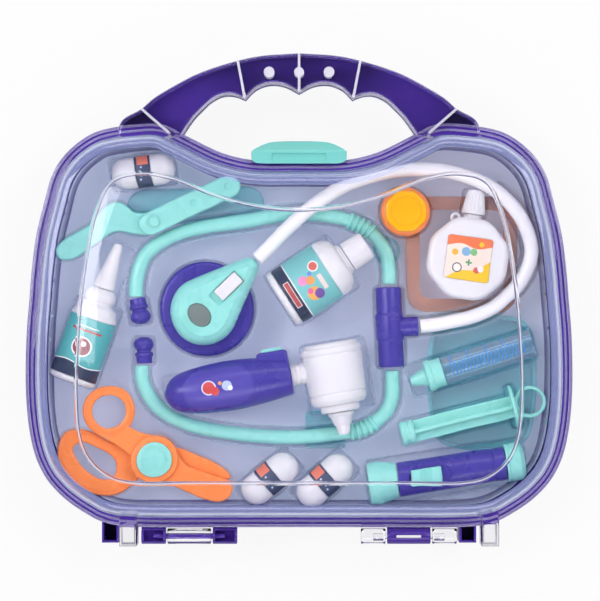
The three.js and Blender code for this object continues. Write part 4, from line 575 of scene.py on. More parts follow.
def nearest(grid, line, closed=True):
    """For each grid point, its distance from a line, the nearest point on it, and whether a closed line holds it."""
    best, spot, inside = np.full(len(grid), 1e9), np.zeros_like(grid), np.zeros(len(grid), bool)
    ends = np.roll(line, -1, axis=0) if closed else line[1:]
    for p, q in zip(line, ends):
        e = q - p
        t = np.clip((grid - p) @ e / (e @ e + 1e-12), 0, 1)
        foot_point = p + t[:, None] * e
        gap = np.linalg.norm(grid - foot_point, axis=1)
        closer = gap < best
        best[closer], spot[closer] = gap[closer], foot_point[closer]
        crosses = (p[1] > grid[:, 1]) != (q[1] > grid[:, 1])
        inside ^= crosses & (grid[:, 0] < e[0] * (grid[:, 1] - p[1]) / (e[1] + 1e-12) + p[0])
    return best, spot, inside & closed


def beside(x, y, degrees, start, end, half):
    """The corners of a pocket that runs along a toy's axis."""
    turn = math.radians(degrees)
    along, aside = np.array([math.cos(turn), math.sin(turn)]), np.array([-math.sin(turn), math.cos(turn)])
    return eased([np.array([x, y]) + along * u + aside * v for u, v in oblong(start, -half, end, half)], 3)


upper_path = [
    (47.5, 7.5), (47.5, 15.2), (46.2, 23.7), (43.0, 29.8), (37.7, 35.6), (31.8, 39.1), (24.9, 42.0), (15.4, 44.1),
    (5.3, 45.0), (-5.8, 44.7), (-16.5, 43.5), (-26.0, 41.8), (-36.6, 40.4), (-46.7, 38.8), (-61.6, 35.4),
    (-72.7, 30.6), (-81.2, 24.2), (-85.4, 16.8), (-87.3, 8.3), (-87.6, 0.6),
]
lower_path = [
    (-84.6, -36.0), (-84.5, -42.1), (-82.0, -49.5), (-76.9, -56.7), (-69.0, -62.8), (-58.9, -67.0), (-46.7, -69.9),
    (-31.3, -72.1), (-15.9, -73.4), (-1.1, -73.7), (12.2, -72.6), (24.7, -71.0), (30.2, -70.2), (36.1, -67.8),
    (41.9, -63.6), (46.2, -58.5), (48.2, -52.2), (48.3, -46.3), (48.3, -38.4),
]
chest_path = [
    (-22.6, 21.3), (-17.0, 26.6), (-10.6, 33.0), (-4.8, 38.6), (5.3, 47.6), (15.4, 55.0), (25.5, 60.6), (35.8, 64.3),
    (46.2, 67.0), (56.2, 68.3), (66.3, 68.5), (76.4, 67.8), (86.5, 65.4), (96.6, 61.7), (105.1, 56.6), (112.0, 50.5),
    (118.1, 42.3), (121.8, 33.8), (123.4, 25.8), (121.8, 17.3), (117.8, 9.4), (111.2, 2.0),
    (102.2, -4.9), (91.8, -9.5),
    (81.5, -12.1), (71.4, -14.1), (63.9, -14.8),
]
loop_line = smooth([
    (-117.3, -69.2), (-124.7, -71.3), (-128.4, -80.3), (-126.8, -89.8), (-118.6, -99.4),
    (-107.5, -104.4), (-98.2, -104.4),
    (-89.7, -99.9), (-83.3, -93.0), (-84.4, -86.7), (-90.7, -79.8), (-102.4, -74.5), (-110.9, -70.2),
], 110)
lower_arm_line = smooth([
    (-129.5, 25.8), (-126.3, 30.6), (-109.3, 41.8), (-102.4, 49.7), (-97.1, 51.6), (-92.9, 50.0), (-88.1, 46.0),
    (-83.3, 45.5), (-77.5, 45.5), (-72.2, 40.7), (-74.8, 35.4), (-81.2, 33.5), (-88.6, 34.3), (-97.6, 35.6),
    (-109.8, 28.2), (-121.5, 21.1), (-127.4, 21.1),
], 120)
rear_blade = [
    (-79.1, -78.2), (-64.2, -79.2), (-46.7, -86.1), (-38.2, -91.4), (-35.6, -96.2), (-45.1, -95.7), (-73.8, -88.8),
]
deep = 20.7
pockets = [
    (beside(-82.8, 67.5, 8, -18, 18, 9.6), deep),
    (beside(-15.8, -95.7, 40, -18, 18, 9.6), deep),
    (beside(13.3, -96.7, 42, -18, 18, 9.6), deep),
    (beside(-121.1, -43.7, 70.7, -1, 44.5, 13.4), deep),
    (beside(-121.1, -43.7, 70.7, 38, 78, 8.8), 24.8),
    (beside(-10.1, -1.0, 32.7, -1, 40, 16.9), deep),
    (beside(-10.1, -1.0, 32.7, 38, 55.4, 9.2), 28.5),
    (eased(round_line(89.1, 21.1, 22.8, 8, 14), 9), deep),
    (beside(89.1, 21.1, 82, 20, 37.5, 7.4), 24.6),
    (round_line(56.2, 46.0, 14.2), deep),
    (round_line(-49.4, -5.5, 26.4), deep),
    (beside(47.5, -15.3, -88.5, -22.2, 22.2, 8.6), 19.1),
    (beside(47.5, -15.3, 1.5, 0, 16.4, 6.2), 21.5),
    (beside(-71.6, -51.9, 9.6, -1, 69, 10.8), 27.1),
    (beside(-71.6, -51.9, 9.6, 68, 92, 6.8), 31.0),
    (beside(18.7, -36.6, -80.4, -14.9, 24, 17.4), deep),
    (beside(18.7, -36.6, -80.4, 22, 36, 8), 29.5),
    (beside(36.6, -98.6, 8.9, -1, 84.8, 12.8), deep),
    (beside(67.9, -41.3, 17.5, -11, 60, 9.6), 21.6),
    (beside(53.3, -72.1, 14, -1, 62.5, 7.9), 25.5),
    (beside(53.3, -72.1, 14, 59, 65.6, 12.6), deep),
    (inset(loop_line[::2], -1.2), 26.8),
    (inset(eased(rear_blade, 2, True, 2), -1.2), 26.8),
    (round_line(-76.9, -85.1, 14.0), 26.8),
    (inset(lower_arm_line[::2], -1.2), 25.4),
    (beside(-87.0, -0.2, -80, -1, 14.8, 6.7), 21.0),
    (beside(-83.3, -34.9, 92, -1, 14.8, 6.7), 21.0),
]
step = 0.75
columns, rows = np.arange(-137, 137.1, step), np.arange(-114, 84.1, step)
grid = np.stack(np.meshgrid(columns, rows), axis=-1).reshape(-1, 2)
height = np.full(len(grid), tray_level)


def sunk(gap, floor, lean=1.7, lip=0.7):
    """The sheet's height over a pocket, from the distance to the pocket's rim."""
    share = np.clip((gap + lean) / (lean + lip), 0, 1)
    return np.where(share < 1, floor + (tray_level - floor) * share**2 * (3 - 2 * share), tray_level)


for line, floor in pockets:
    low, high = line.min(0) - 2, line.max(0) + 2
    near = np.all((grid > low) & (grid < high), axis=1)
    gap, _, held = nearest(grid[near], line)
    height[near] = np.minimum(height[near], sunk(np.where(held, -gap, gap), floor))
for route in (upper_path, lower_path, chest_path[14:]):
    gap, _, _ = nearest(grid, smooth(route, 90, False), False)
    height = np.minimum(height, sunk(gap - 6.0, 21.9, 2.2))
gap, spot, held = nearest(grid, tray_line)
moved = ~held & (gap < step * 1.5)
grid[moved] = spot[moved]
kept = held | moved
number = np.full(len(grid), -1)
number[kept] = np.arange(kept.sum())
corner = number.reshape(len(rows), len(columns))
quads = np.stack([corner[:-1, :-1], corner[:-1, 1:], corner[1:, 1:], corner[1:, :-1]], axis=-1).reshape(-1, 4)
quads = quads[(quads >= 0).all(axis=1)]
tray = body_of("tray_sheet", np.column_stack([grid[kept], height[kept]]), quads.tolist())
form = bmesh.new()
form.from_mesh(tray.data)
bmesh.ops.remove_doubles(form, verts=form.verts, dist=0.00002)
edges = [edge for edge in form.edges if edge.is_boundary]
for new in bmesh.ops.extrude_edge_only(form, edges=edges)["geom"]:
    if isinstance(new, bmesh.types.BMVert):
        new.co.z = skirt_foot / 1000
bmesh.ops.delete(form, geom=[v for v in form.verts if not v.link_faces], context="VERTS")
form.to_mesh(tray.data)
form.free()
tray_film = clear_plastic("vacuum_formed_petg", "#f8fafd", 0.035, film=True, edge=1.5, waves=0.05, haze=0.13)
fitted(tray, "case", "toy_tray", "clear_tray", tray_film, 80)

# Capsules
# Three hollow white capsules of two halves, each with a printed paper band round its seam.
white_polyethylene = moulded("moulded_polyethylene_white", "#e3e2e6", 0.3, 8.0, soft=0.12)
white_toy = ("white_toy", white_polyethylene)


def own_axes(tree, place, x, y, z, degrees=0.0):
    """A toy's own axes in its material, in millimetres: along it, across it and upwards."""
    settings = {
        "vector_type": "TEXTURE",
        "Location": (x / 1000, y / 1000, z / 1000),
        "Rotation": (0, 0, math.radians(degrees)),
        "Scale": (0.001, 0.001, 0.001),
    }
    mapped = add(tree, "ShaderNodeMapping", settings, {"Vector": place})
    return add(tree, "ShaderNodeSeparateXYZ", {}, {0: mapped.outputs[0]}).outputs


def count_of(tree, how, a, b, c=0.0):
    """One sum in a material, whose terms are numbers or sockets."""
    terms = (a, b, c)
    numbers = {i: t for i, t in enumerate(terms) if isinstance(t, (int, float))}
    sockets = {i: t for i, t in enumerate(terms) if not isinstance(t, (int, float))}
    return add(tree, "ShaderNodeMath", {"operation": how, **numbers}, sockets).outputs[0]


def patch(tree, axes, x, y, half_x, half_y):
    """One where a label's rectangle is, nothing elsewhere."""
    across = count_of(tree, "COMPARE", axes[1], y, half_y)
    return count_of(tree, "MULTIPLY", count_of(tree, "COMPARE", axes[0], x, half_x), across)


def spot_of(tree, axes, x, y, radius):
    """One inside a circle, nothing elsewhere."""
    gap_x, gap_y = count_of(tree, "SUBTRACT", axes[0], x), count_of(tree, "SUBTRACT", axes[1], y)
    gap = count_of(tree, "ADD", count_of(tree, "MULTIPLY", gap_x, gap_x), count_of(tree, "MULTIPLY", gap_y, gap_y))
    return count_of(tree, "LESS_THAN", gap, radius * radius)


def printed(tree, base, mask, code):
    """One more ink over what is printed."""
    ink = {"data_type": "RGBA", 7: linear(code)}
    return add(tree, "ShaderNodeMix", ink, {0: mask, 6: base}).outputs[2]


def barred(tree, base, axes, code, *place):
    """A printed rectangle: its middle and half its sides."""
    return printed(tree, base, patch(tree, axes, *place), code)


def dotted(tree, base, axes, dots):
    """Printed circles one over another: middle, radius and ink."""
    for x, y, radius, code in dots:
        base = printed(tree, base, spot_of(tree, axes, x, y, radius), code)
    return base


def sleeve(name, start, end, radius):
    """A thin label wrapped round a body."""
    outer = [(start, radius + 0.1), (start + 0.2, radius + 0.2), (end - 0.2, radius + 0.2), (end, radius + 0.1)]
    return turned(name, [(start, radius - 0.5), *outer, (end, radius - 0.5)], ends=False)


def round_end(start, radius, way, steps=12):
    """The profile of a round end that starts at a point of the axis."""
    bends = np.linspace(0.06, math.pi / 2, steps)
    return [(start + way * radius * (1 - math.cos(b)), radius * math.sin(b)) for b in bends]


capsule_level, capsule_radius = 29.4, 8.4
for i, (x, y, degrees, side) in enumerate(((-82.8, 67.5, 8, 1), (-15.8, -95.7, 40, 1), (13.3, -96.7, 42, 1)), start=1):
    seam = [
        (x, capsule_radius - dip)
        for x, dip in ((-5.2, 0), (-5.1, 0.15), (-4.9, 0.15), (-4.8, 0), (-4.3, 0), (-4.2, 0.8), (4.2, 0.8), (4.3, 0))
    ]
    profile = round_end(-17, capsule_radius, 1) + seam + round_end(17, capsule_radius, -1)[::-1]
    body = laid(turned(f"capsule_{i}_moulding", profile), x, y, capsule_level, degrees)
    fitted(body, "case", f"capsule_{i}", *white_toy)

    def band_print(tree, place, base, x=x, y=y, degrees=degrees, side=side):
        axes = own_axes(tree, place, x, y, capsule_level, degrees)
        base = barred(tree, base, axes, "#44506f", 0, 0, 3.4, 6.6)
        for k in range(-2, 3):
            base = printed(tree, base, spot_of(tree, axes, -1.6 + 0.8 * (k % 2), k * 2.2, 0.55), "#cfd6e4")
        return barred(tree, base, axes, "#e8816b", 0.2, 6.0 * side, 3.0, 2.4)

    paper_band = moulded(f"printed_paper_band_{i}", "#39445f", 0.5, 5.0, paint=band_print)
    band = laid(sleeve(f"capsule_{i}_paper_band", -4, 4, capsule_radius), x, y, capsule_level, degrees)
    fitted(band, "case", f"capsule_{i}_band", "printed_label", paper_band)

# Eye-drops bottle
# A blown white bottle with a waisted neck and a pressed-in nozzle; a printed teal label is wrapped round it.
drops_at = (-121.1, -43.7, 33.3, 70.7)
drops_profile = eased([
    (0, 3), (0, 10.9), (1.2, 12.3), (3.0, 12.3), (3.0, 11.6),
    (35.2, 11.6), (35.2, 12.3), (36.6, 12.2), (38.4, 10.9), (41.2, 10.6),
    (43.2, 7.4), (44.6, 7.2), (45.6, 8.1), (48.2, 8.1), (50.6, 6.6), (51.7, 5.6), (51.7, 2),
], 0.9, False)
fitted(laid(turned("drops_bottle_moulding", drops_profile), *drops_at), "case", "drops_bottle", *white_toy)
nozzle_profile = eased([(52, 1), (52, 5.5), (53, 5.7), (56, 5.0), (74.6, 2.5), (76.9, 1.9), (76.9, 0.4)], 0.9, False)
fitted(laid(turned("drops_nozzle_moulding", nozzle_profile), *drops_at), "case", "drops_nozzle", *white_toy)


def drops_print(tree, place, base):
    """Teal above a wavy white line and a navy foot, with a plain drop and two bars."""
    axes = own_axes(tree, place, *drops_at)
    wave = count_of(tree, "MULTIPLY", count_of(tree, "SINE", count_of(tree, "MULTIPLY", axes[1], 0.28), 0.0), 0.9)
    along = count_of(tree, "SUBTRACT", axes[0], wave)
    base = printed(tree, base, count_of(tree, "LESS_THAN", along, 10.6), "#f2f4f4")
    base = printed(tree, base, count_of(tree, "LESS_THAN", along, 10.0), "#2c3a56")
    dots = [(19.5, 0, 5.4, "#f4f4f2"), (19.5, 0, 4.6, "#8c3a4a"), (21.2, -0.6, 1.4, "#f4f4f2")]
    base = dotted(tree, base, axes, dots)
    base = barred(tree, base, axes, "#c2484c", 28.4, 0, 0.55, 8.0)
    return barred(tree, base, axes, "#f2f4f4", 30.4, 0, 0.3, 6.0)


teal_label = moulded("printed_teal_label", "#58b3b5", 0.4, 9.0, paint=drops_print)
drops_sleeve = laid(sleeve("drops_bottle_label", 3.2, 35.0, 12.3), *drops_at)
fitted(drops_sleeve, "case", "drops_label", "printed_label", teal_label)

# Pill bottle
# A blown white bottle with a broad rounded shoulder, a screw cap with a fine grip, and a printed sleeve.
pill_at = (-10.1, -1.0, 36.8, 32.7)
pill_profile = eased([
    (0, 6), (0, 14.0), (1.2, 15.8), (3.7, 15.8), (3.7, 15.1),
    (29.2, 15.1), (29.2, 15.8), (33.5, 15.8), (38.3, 12.8), (39.4, 8.6),
    (40.2, 8.6), (40.6, 7.8), (41.8, 7.6), (41.8, 5.4), (47.8, 5.4), (47.8, 2),
], 2.2, False)
fitted(laid(turned("pill_bottle_moulding", pill_profile), *pill_at), "case", "pill_bottle", *white_toy)


def pill_print(tree, place, base):
    """A navy foot with a red plate, a white line, and three soft discs and a pale bar on the teal."""
    axes = own_axes(tree, place, *pill_at)
    base = printed(tree, base, count_of(tree, "LESS_THAN", axes[0], 10.4), "#eef1f0")
    base = printed(tree, base, count_of(tree, "LESS_THAN", axes[0], 9.8), "#2a3650")
    base = barred(tree, base, axes, "#e9d9d0", 7.0, -1.0, 1.5, 7.5)
    base = barred(tree, base, axes, "#b64b4e", 7.0, -1.0, 1.15, 7.1)
    base = dotted(tree, base, axes, [
        (24.0, 6.0, 2.9, "#f3efe8"), (24.0, 6.0, 2.2, "#d86b62"),
        (15.4, 2.2, 2.6, "#e58fc0"), (19.0, 0.4, 2.3, "#f3a45c"),
        (17.2, -6.4, 3.6, "#f6b25e"), (19.6, -7.8, 2.6, "#7a58a8"),
        (16.0, -4.4, 1.5, "#e9699b"), (20.4, 3.6, 1.2, "#6c8fd6"),
    ])
    return barred(tree, base, axes, "#f0ddd8", 24.2, -3.4, 1.2, 4.2)


pill_label = moulded("printed_sleeve_label", "#7cc4c4", 0.4, 9.0, paint=pill_print)
pill_sleeve = laid(sleeve("pill_bottle_sleeve", 3.9, 29.0, 15.8), *pill_at)
fitted(pill_sleeve, "case", "pill_bottle_label", "printed_label", pill_label)


def ribbed_cap(name, length, base, top, crest, bore, ribs, rise):
    """A hollow cap along X whose side is fluted, made by waving the radius of a turned form."""
    sides = ribs * 4
    bend = round_angles(sides)
    wave = np.where(np.arange(sides) % 4 < 2, 0, -1)
    rings = []
    for x, r, depth in [
        (6.3, 0.5, 0), (6.3, bore, 0), (0, bore, 0), (0, base - 0.3, 0), (0.3, base, 0),
        (1.6, base, 0), (2.0, base, rise),
        (length - crest - 0.6, top + (base - top) * 0.1, rise), (length - crest, top, 0), (length - 0.5, top * 0.97, 0),
        (length, top * 0.9, 0), (length, 0.5, 0),
    ]:
        radius = r + wave * depth
        rings.append(np.column_stack([np.full(sides, x), radius * np.cos(bend), radius * np.sin(bend)]))
    return skin(name, rings)


pill_cap = ribbed_cap("pill_bottle_screw_cap", 12.2, 8.0, 7.7, 1.2, 5.7, 36, 0.22)
laid(pill_cap, 42.2, 0, 0)
fitted(laid(pill_cap, *pill_at), "pill_bottle_cap", "pill_bottle_cap", *white_toy)

# Flat bottle
# A blown white bottle, nearly round in front with eight soft flats, a fluted cap, a hanging tab and a square label.
flat_at = (89.1, 21.1, 31.0, -8)
flat_body = slab("flat_bottle_moulding", eased(round_line(0, 0, 23.4, 8, 22.5), 5.0), -10, 10, 3.6, 7)
neck = turned("neck", [(18, 1), (18, 4.8), (23.5, 4.8), (23.5, 3.4), (29.5, 3.4), (29.5, 1)], 40)
laid(neck, 0, 0, 0, 90)
tab = slab("tab", round_line(-9.1, 20.6, 3.1), -0.9, 0.9, 0.3)
worked(tab, "DIFFERENCE", slab("eye", round_line(-9.1, 20.9, 1.4, 24), -2, 2))
seat = slab("seat", eased(oblong(-12.5, -11.8, 12.5, 11.8), 2), 9.6, 12)
worked(worked(flat_body, "UNION", neck, tab), "DIFFERENCE", seat)
fitted(laid(flat_body, *flat_at), "case", "flat_bottle", *white_toy)


def flat_print(tree, place, base):
    """Orange above a wave, yellow below another, and plain dots, pills and a cross between."""
    axes = own_axes(tree, place, *flat_at)
    wave = count_of(tree, "SINE", count_of(tree, "MULTIPLY", axes[0], 0.34), 0.0)
    high = count_of(tree, "ADD", axes[1], count_of(tree, "MULTIPLY", wave, 1.0))
    base = printed(tree, base, count_of(tree, "GREATER_THAN", high, 6.6), "#ef7a4c")
    low = count_of(tree, "SUBTRACT", axes[1], count_of(tree, "MULTIPLY", axes[0], 0.42))
    base = printed(tree, base, count_of(tree, "LESS_THAN", count_of(tree, "ADD", low, wave), -6.2), "#f6c52e")
    base = dotted(tree, base, axes, [
        (-7.6, 2.6, 1.7, "#f0b73c"), (6.4, 8.2, 1.3, "#f6c52e"),
        (-1.6, 3.6, 2.4, "#86b6d8"), (2.6, 3.8, 1.9, "#7fbf7d"),
        (-5.6, -5.4, 2.6, "#565a6a"), (-5.6, -5.4, 2.0, "#f2ece2"),
        (5.0, -5.6, 1.7, "#d9605c"), (7.2, -4.6, 1.7, "#e9eef0"),
    ])
    base = barred(tree, base, axes, "#5d9f6c", 0.4, -2.0, 0.5, 1.7)
    return barred(tree, base, axes, "#5d9f6c", 0.4, -2.0, 1.7, 0.5)


square_label = moulded("printed_square_label", "#f0dfd2", 0.4, 9.0, paint=flat_print)
label = slab("flat_bottle_front_label", eased(oblong(-12.2, -11.5, 12.2, 11.5), 2), 9.7, 10.3, 0.1, 2)
fitted(laid(label, *flat_at), "case", "flat_bottle_label", "printed_label", square_label)
flat_cap = ribbed_cap("flat_bottle_fluted_cap", 12.8, 6.2, 4.5, 0.8, 3.7, 24, 0.35)
laid(flat_cap, 0, 23.9, 0, 90)
fitted(laid(flat_cap, *flat_at), "flat_bottle_cap", "flat_bottle_cap", *white_toy)

# Lotion bottle
# A round orange bottle that stands on its base in the tray, seen from above its eight-sided yellow cap.
lotion_at = (56.2, 46.0)
lotion_body = slab("lotion_bottle_moulding", round_line(0, 0, 12.9, 72), 0, 18, 2.6, 6)
worked(lotion_body, "UNION", slab("spout", round_line(0, 0, 5, 40), 17, 24))
fitted(laid(lotion_body, *lotion_at, 21), "case", "lotion_bottle", *orange_toy)
yellow_pp = moulded("moulded_polypropylene_yellow", "#ffb400", 0.25, 8.0, soft=0.1)
cap_line = eased(round_line(0, 0, 11.6, 8, 22.5), 2.0)
lotion_cap = worked(
    slab("lotion_cap_moulding", cap_line, 0, 8, 1.2),
    "DIFFERENCE",
    slab("bore", round_line(0, 0, 5.3, 40), -1, 6),
    slab("dimple", round_line(0, 0, 7.9, 56), 7.2, 10, 0.5),
)
fitted(laid(lotion_cap, *lotion_at, 39.3), "lotion_cap", "lotion_cap", "yellow_toy", yellow_pp)

# Chest-piece
# A purple disc with a mint dome over it; a white slide button and a grey moulded window sit in the dome.
purple_abs = moulded("moulded_abs_purple", "#443a9c", 0.28, 12.0, soft=0.06)
purple_toy = ("purple_toy", purple_abs)
mint_abs = moulded("moulded_abs_mint", "#93ddd4", 0.28, 12.0, soft=0.12)
mint_toy = ("mint_toy", mint_abs)
grey_abs = moulded("moulded_abs_grey", "#75827f", 0.3, 8.0)
chest_at = (-49.4, -5.5, 0, 45)
disc = worked(
    slab("chest_disc_moulding", round_line(0, 0, 25.2, 96), 21, 30, 2.4, 6),
    "DIFFERENCE",
    turned("groove", [(27.2, 23.6), (31, 23.6), (31, 22.6), (27.2, 22.6)], 96, False),
)
fitted(laid(disc, *chest_at), "case", "chest_disc", *purple_toy)
dome = skin("chest_dome_moulding", [
    level(inset(capsule_line(-1.8, 0, 31.6, 0, 18.0, 5.4, 40), step_in), z)
    for step_in, z in (
        (0.3, 30.3), (0, 30.6), (0, 32.2), (0.25, 34.2), (0.9, 36.2),
        (1.9, 37.9), (3.2, 39.2), (4.5, 39.9), (4.9, 40.2), (4.95, 40.3),
    )
])
seat = slab("seat", eased(oblong(6.2, -4.0, 25.3, 4.0), 1.0), 38.9, 44)
window_line = round_line(0, 0, 1, 56) * (5.3, 6.7) - (4.5, 0)
worked(dome, "DIFFERENCE", seat, slab("window", inset(window_line, -0.35), 39.3, 44))
arc_angles = np.radians((155, 167, 180, 193, 205))
for back in (4.3, 5.9, 7.5):
    arc = np.column_stack([12.6 * np.cos(arc_angles) - back, 12.6 * np.sin(arc_angles)])
    line = smooth(arc, 12, False)
    worked(dome, "DIFFERENCE", slab("mark", np.vstack([line, line[::-1] - (0.6, 0)]) + (6.0, 0), 39.9, 44))
fitted(laid(dome, *chest_at), "case", "chest_dome", *mint_toy)
button = worked(
    slab("chest_slider_moulding", eased(oblong(9.6, -3.5, 24.6, 3.5), 1.1), 39.3, 42.1, 0.7),
    "DIFFERENCE",
    slab("slot", oblong(11.2, -2.6, 11.7, 2.6), 41.6, 44),
)
fitted(laid(button, *chest_at), "chest_slider", "chest_slider", *white_toy)
window = slab("chest_window_moulding", window_line, 39.6, 40.6, 0.4)
fitted(laid(window, *chest_at), "case", "chest_window", "grey_toy", grey_abs)

# Ear tubes and their tips
# Two mint tubes of soft vinyl with a ribbed grip each, pushed into a purple connector; the ends carry purple tips.


def hose(name, path, heights, radii, sides=24, taper=0.5):
    """A round bar along a path, its ends a little rounded."""
    line = np.column_stack([path, np.broadcast_to(heights, len(path))])
    way = np.gradient(line, axis=0)
    way /= np.linalg.norm(way, axis=1, keepdims=True)
    aside = np.cross(way, (0, 0, 1))
    aside /= np.linalg.norm(aside, axis=1, keepdims=True)
    above = np.cross(aside, way)
    radii = np.broadcast_to(radii, len(path))
    bend = round_angles(sides)
    rings = [
        middle + radius * (np.outer(np.cos(bend), side) + np.outer(np.sin(bend), up))
        for middle, radius, side, up in zip(line, radii, aside, above)
    ]
    first = line[0] + (rings[0] - line[0]) * (1 - taper / radii[0])
    last = line[-1] + (rings[-1] - line[-1]) * (1 - taper / radii[-1])
    rings[0] = rings[0] + way[0] * taper
    rings[-1] = rings[-1] - way[-1] * taper
    return skin(name, [first, *rings, last])


def lengths(path):
    """How far along a path each of its points lies."""
    return np.concatenate([[0], np.cumsum(np.linalg.norm(np.diff(path, axis=0), axis=1))])


tube_height, tube_radius, arch_height = 26.96, 3.8, 35.16
connector = turned("tube_connector_moulding", eased([
    (-21.2, 3), (-21.2, 6.9), (-7.2, 6.9), (-6.2, 7.6), (6.2, 7.6), (7.2, 6.9), (21.2, 6.9), (21.2, 3),
], 0.8, False), 48)
arm = turned("arm", eased([(0, 5.2), (15.4, 5.2), (15.4, 2)], 0.6, False), 40)
laid(arm, 0, 0, 0, 90)
worked(connector, "UNION", arm)
fitted(laid(connector, 47.5, -15.3, tube_height, -88.5), "case", "tube_connector", *purple_toy)
for name, route, first_rib in (("ear_tube_upper", upper_path, 31.0), ("ear_tube_lower", lower_path, -43.5)):
    path = smooth(route, 640, False)
    run = lengths(path)
    first = first_rib if first_rib > 0 else run[-1] + first_rib
    radii = np.full(len(path), tube_radius)
    for k in range(5):
        radii = np.maximum(radii, tube_radius + 1.1 * np.clip(1.25 - ((run - first - 3 * k) / 0.95) ** 2, 0, 1))
    fitted(hose(f"{name}_vinyl", path, tube_height, radii), "case", name, "mint_tube", mint_abs)
tip_profile = eased([
    (0, 2), (0, 4.2), (3.5, 4.4), (4.2, 5.0), (5.6, 5.0), (6.0, 3.9), (6.8, 3.9), (8.4, 5.2),
    (10.6, 5.7), (12.6, 4.6),
    (13.9, 2.2), (13.9, 0.5),
], 0.8, False)
for name, x, y, degrees in (("ear_tip_upper", -87.0, -0.2, -80), ("ear_tip_lower", -83.3, -34.9, 92)):
    tip = laid(turned(f"{name}_moulding", tip_profile, 40), x, y, tube_height, degrees)
    fitted(tip, "case", name, *purple_toy)

# Chest tube
# A white vinyl tube runs in a big arc from the connector to the neck of the chest-piece.
white_vinyl = moulded("extruded_vinyl_white", "#f3f2f5", 0.25, 20.0, soft=0.1)
path = smooth(chest_path, 300, False)
share = np.linspace(0, 1, 300)
fall = np.clip((share - 0.45) / 0.53, 0, 1)
heights = arch_height + (tube_height - arch_height) * fall**2 * (3 - 2 * fall)
fitted(hose("chest_tube_vinyl", path, heights, tube_radius, 28), "case", "chest_tube", "white_tube", white_vinyl)

# Otoscope
# A purple handle has a mint button at its side and a violet badge.
# The white head is turned across it and ends in a cone.
scope_at = (-71.6, -51.9, 37.0, 9.6)
grip_curve = smooth([
    (0.3, 2.4), (3.0, 6.7), (6.8, 9.5), (15.0, 11.7), (30.0, 13.1), (42.0, 13.1), (57.8, 11.5), (66.0, 10.2),
], 48, False).tolist()
grip_profile = [(0.02, 0.6), *grip_curve, (67.3, 9.9), (68.0, 9.1), (68.0, 2)]
housing_line = eased(oblong(51.6, 2, 67.9, 14.4), 2.2)
grip = turned("otoscope_grip_moulding", grip_profile, 72)
worked(grip, "UNION", slab("housing", housing_line, -5.8, 5.8, 1.6))
worked(grip, "DIFFERENCE", slab("seat", oblong(54.0, 10.6, 66.0, 18), -3.3, 3.3))
fitted(laid(grip, *scope_at), "case", "otoscope_grip", *purple_toy)
press = slab("otoscope_button_moulding", eased(oblong(54.4, 11.95, 65.6, 16.0), 1.6), -2.9, 2.9, 0.8)
fitted(laid(press, *scope_at), "otoscope_button", "otoscope_button", *mint_toy)


def badge_print(tree, place, base):
    """A pale rim, a coral shell form and a blue drop."""
    axes = own_axes(tree, place, *scope_at)
    base = dotted(tree, base, axes, [
        (24.6, 0.8, 3.9, "#d8d6f2"), (24.6, 0.8, 3.2, "#d24a4a"),
        (27.6, -1.4, 2.3, "#d24a4a"), (34.2, 0.6, 2.6, "#b7c7ee"),
        (35.8, -0.8, 1.3, "#f2f3fb"), (30.8, 2.4, 1.0, "#e7a05a"),
    ])
    return base


violet_print = moulded("printed_violet_badge", "#5046a8", 0.35, 9.0, paint=badge_print)
badge_curve = [(x, r) for x, r in grip_curve if 9 < x < 50]
badge_ring = [(x, r + 0.02) for x, r in badge_curve] + [(x, r + 0.2) for x, r in badge_curve[::-1]]
sticker = worked(
    turned("otoscope_badge_print", badge_ring, 96, False),
    "INTERSECT",
    slab("cut", capsule_line(20.9, 0, 37.9, 0, 10.2, None, 40), 1, 15),
)
fitted(laid(sticker, *scope_at), "case", "otoscope_badge", "violet_badge", violet_print)
head_middle = 90.56
neck = turned("otoscope_head_moulding", eased([
    (68.3, 2), (68.3, 5.6), (70.0, 5.6), (70.0, 5.2), (70.9, 5.2), (70.9, 5.6), (72.6, 5.6), (72.6, 5.2), (73.5, 5.2),
    (73.5, 5.6), (88, 5.6), (88, 2),
], 0.15, False), 48)
head = turned("head", eased([
    (-13.8, 3), (-13.8, 12.6), (-12.9, 13.9), (-11.6, 14.0), (-11.3, 15.4),
    (-10.3, 15.9), (-8.4, 15.9), (-7.9, 15.4), (-7.4, 15.4),
    (-6.9, 15.8), (12.4, 15.0), (12.9, 14.4), (13.5, 14.4), (14.0, 14.9),
    (16.6, 14.6), (19.0, 13.0), (19.0, 10.4), (22.4, 10.2),
    (23.1, 9.5), (23.1, 2),
], 0.5, False), 96)
laid(head, head_middle, 0, 0, -90)
fitted(laid(worked(neck, "UNION", head), *scope_at), "case", "otoscope_head", *white_toy)
cone = turned("otoscope_cone_moulding", eased([
    (23.4, 2), (23.4, 6.7), (25.2, 6.7), (25.2, 6.0), (30.0, 4.6), (30.0, 4.1), (35.0, 2.9), (35.3, 2.4), (35.3, 0.6),
], 0.25, False), 48)
laid(cone, head_middle, 0, 0, -90)
fitted(laid(cone, *scope_at), "case", "otoscope_cone", *white_toy)

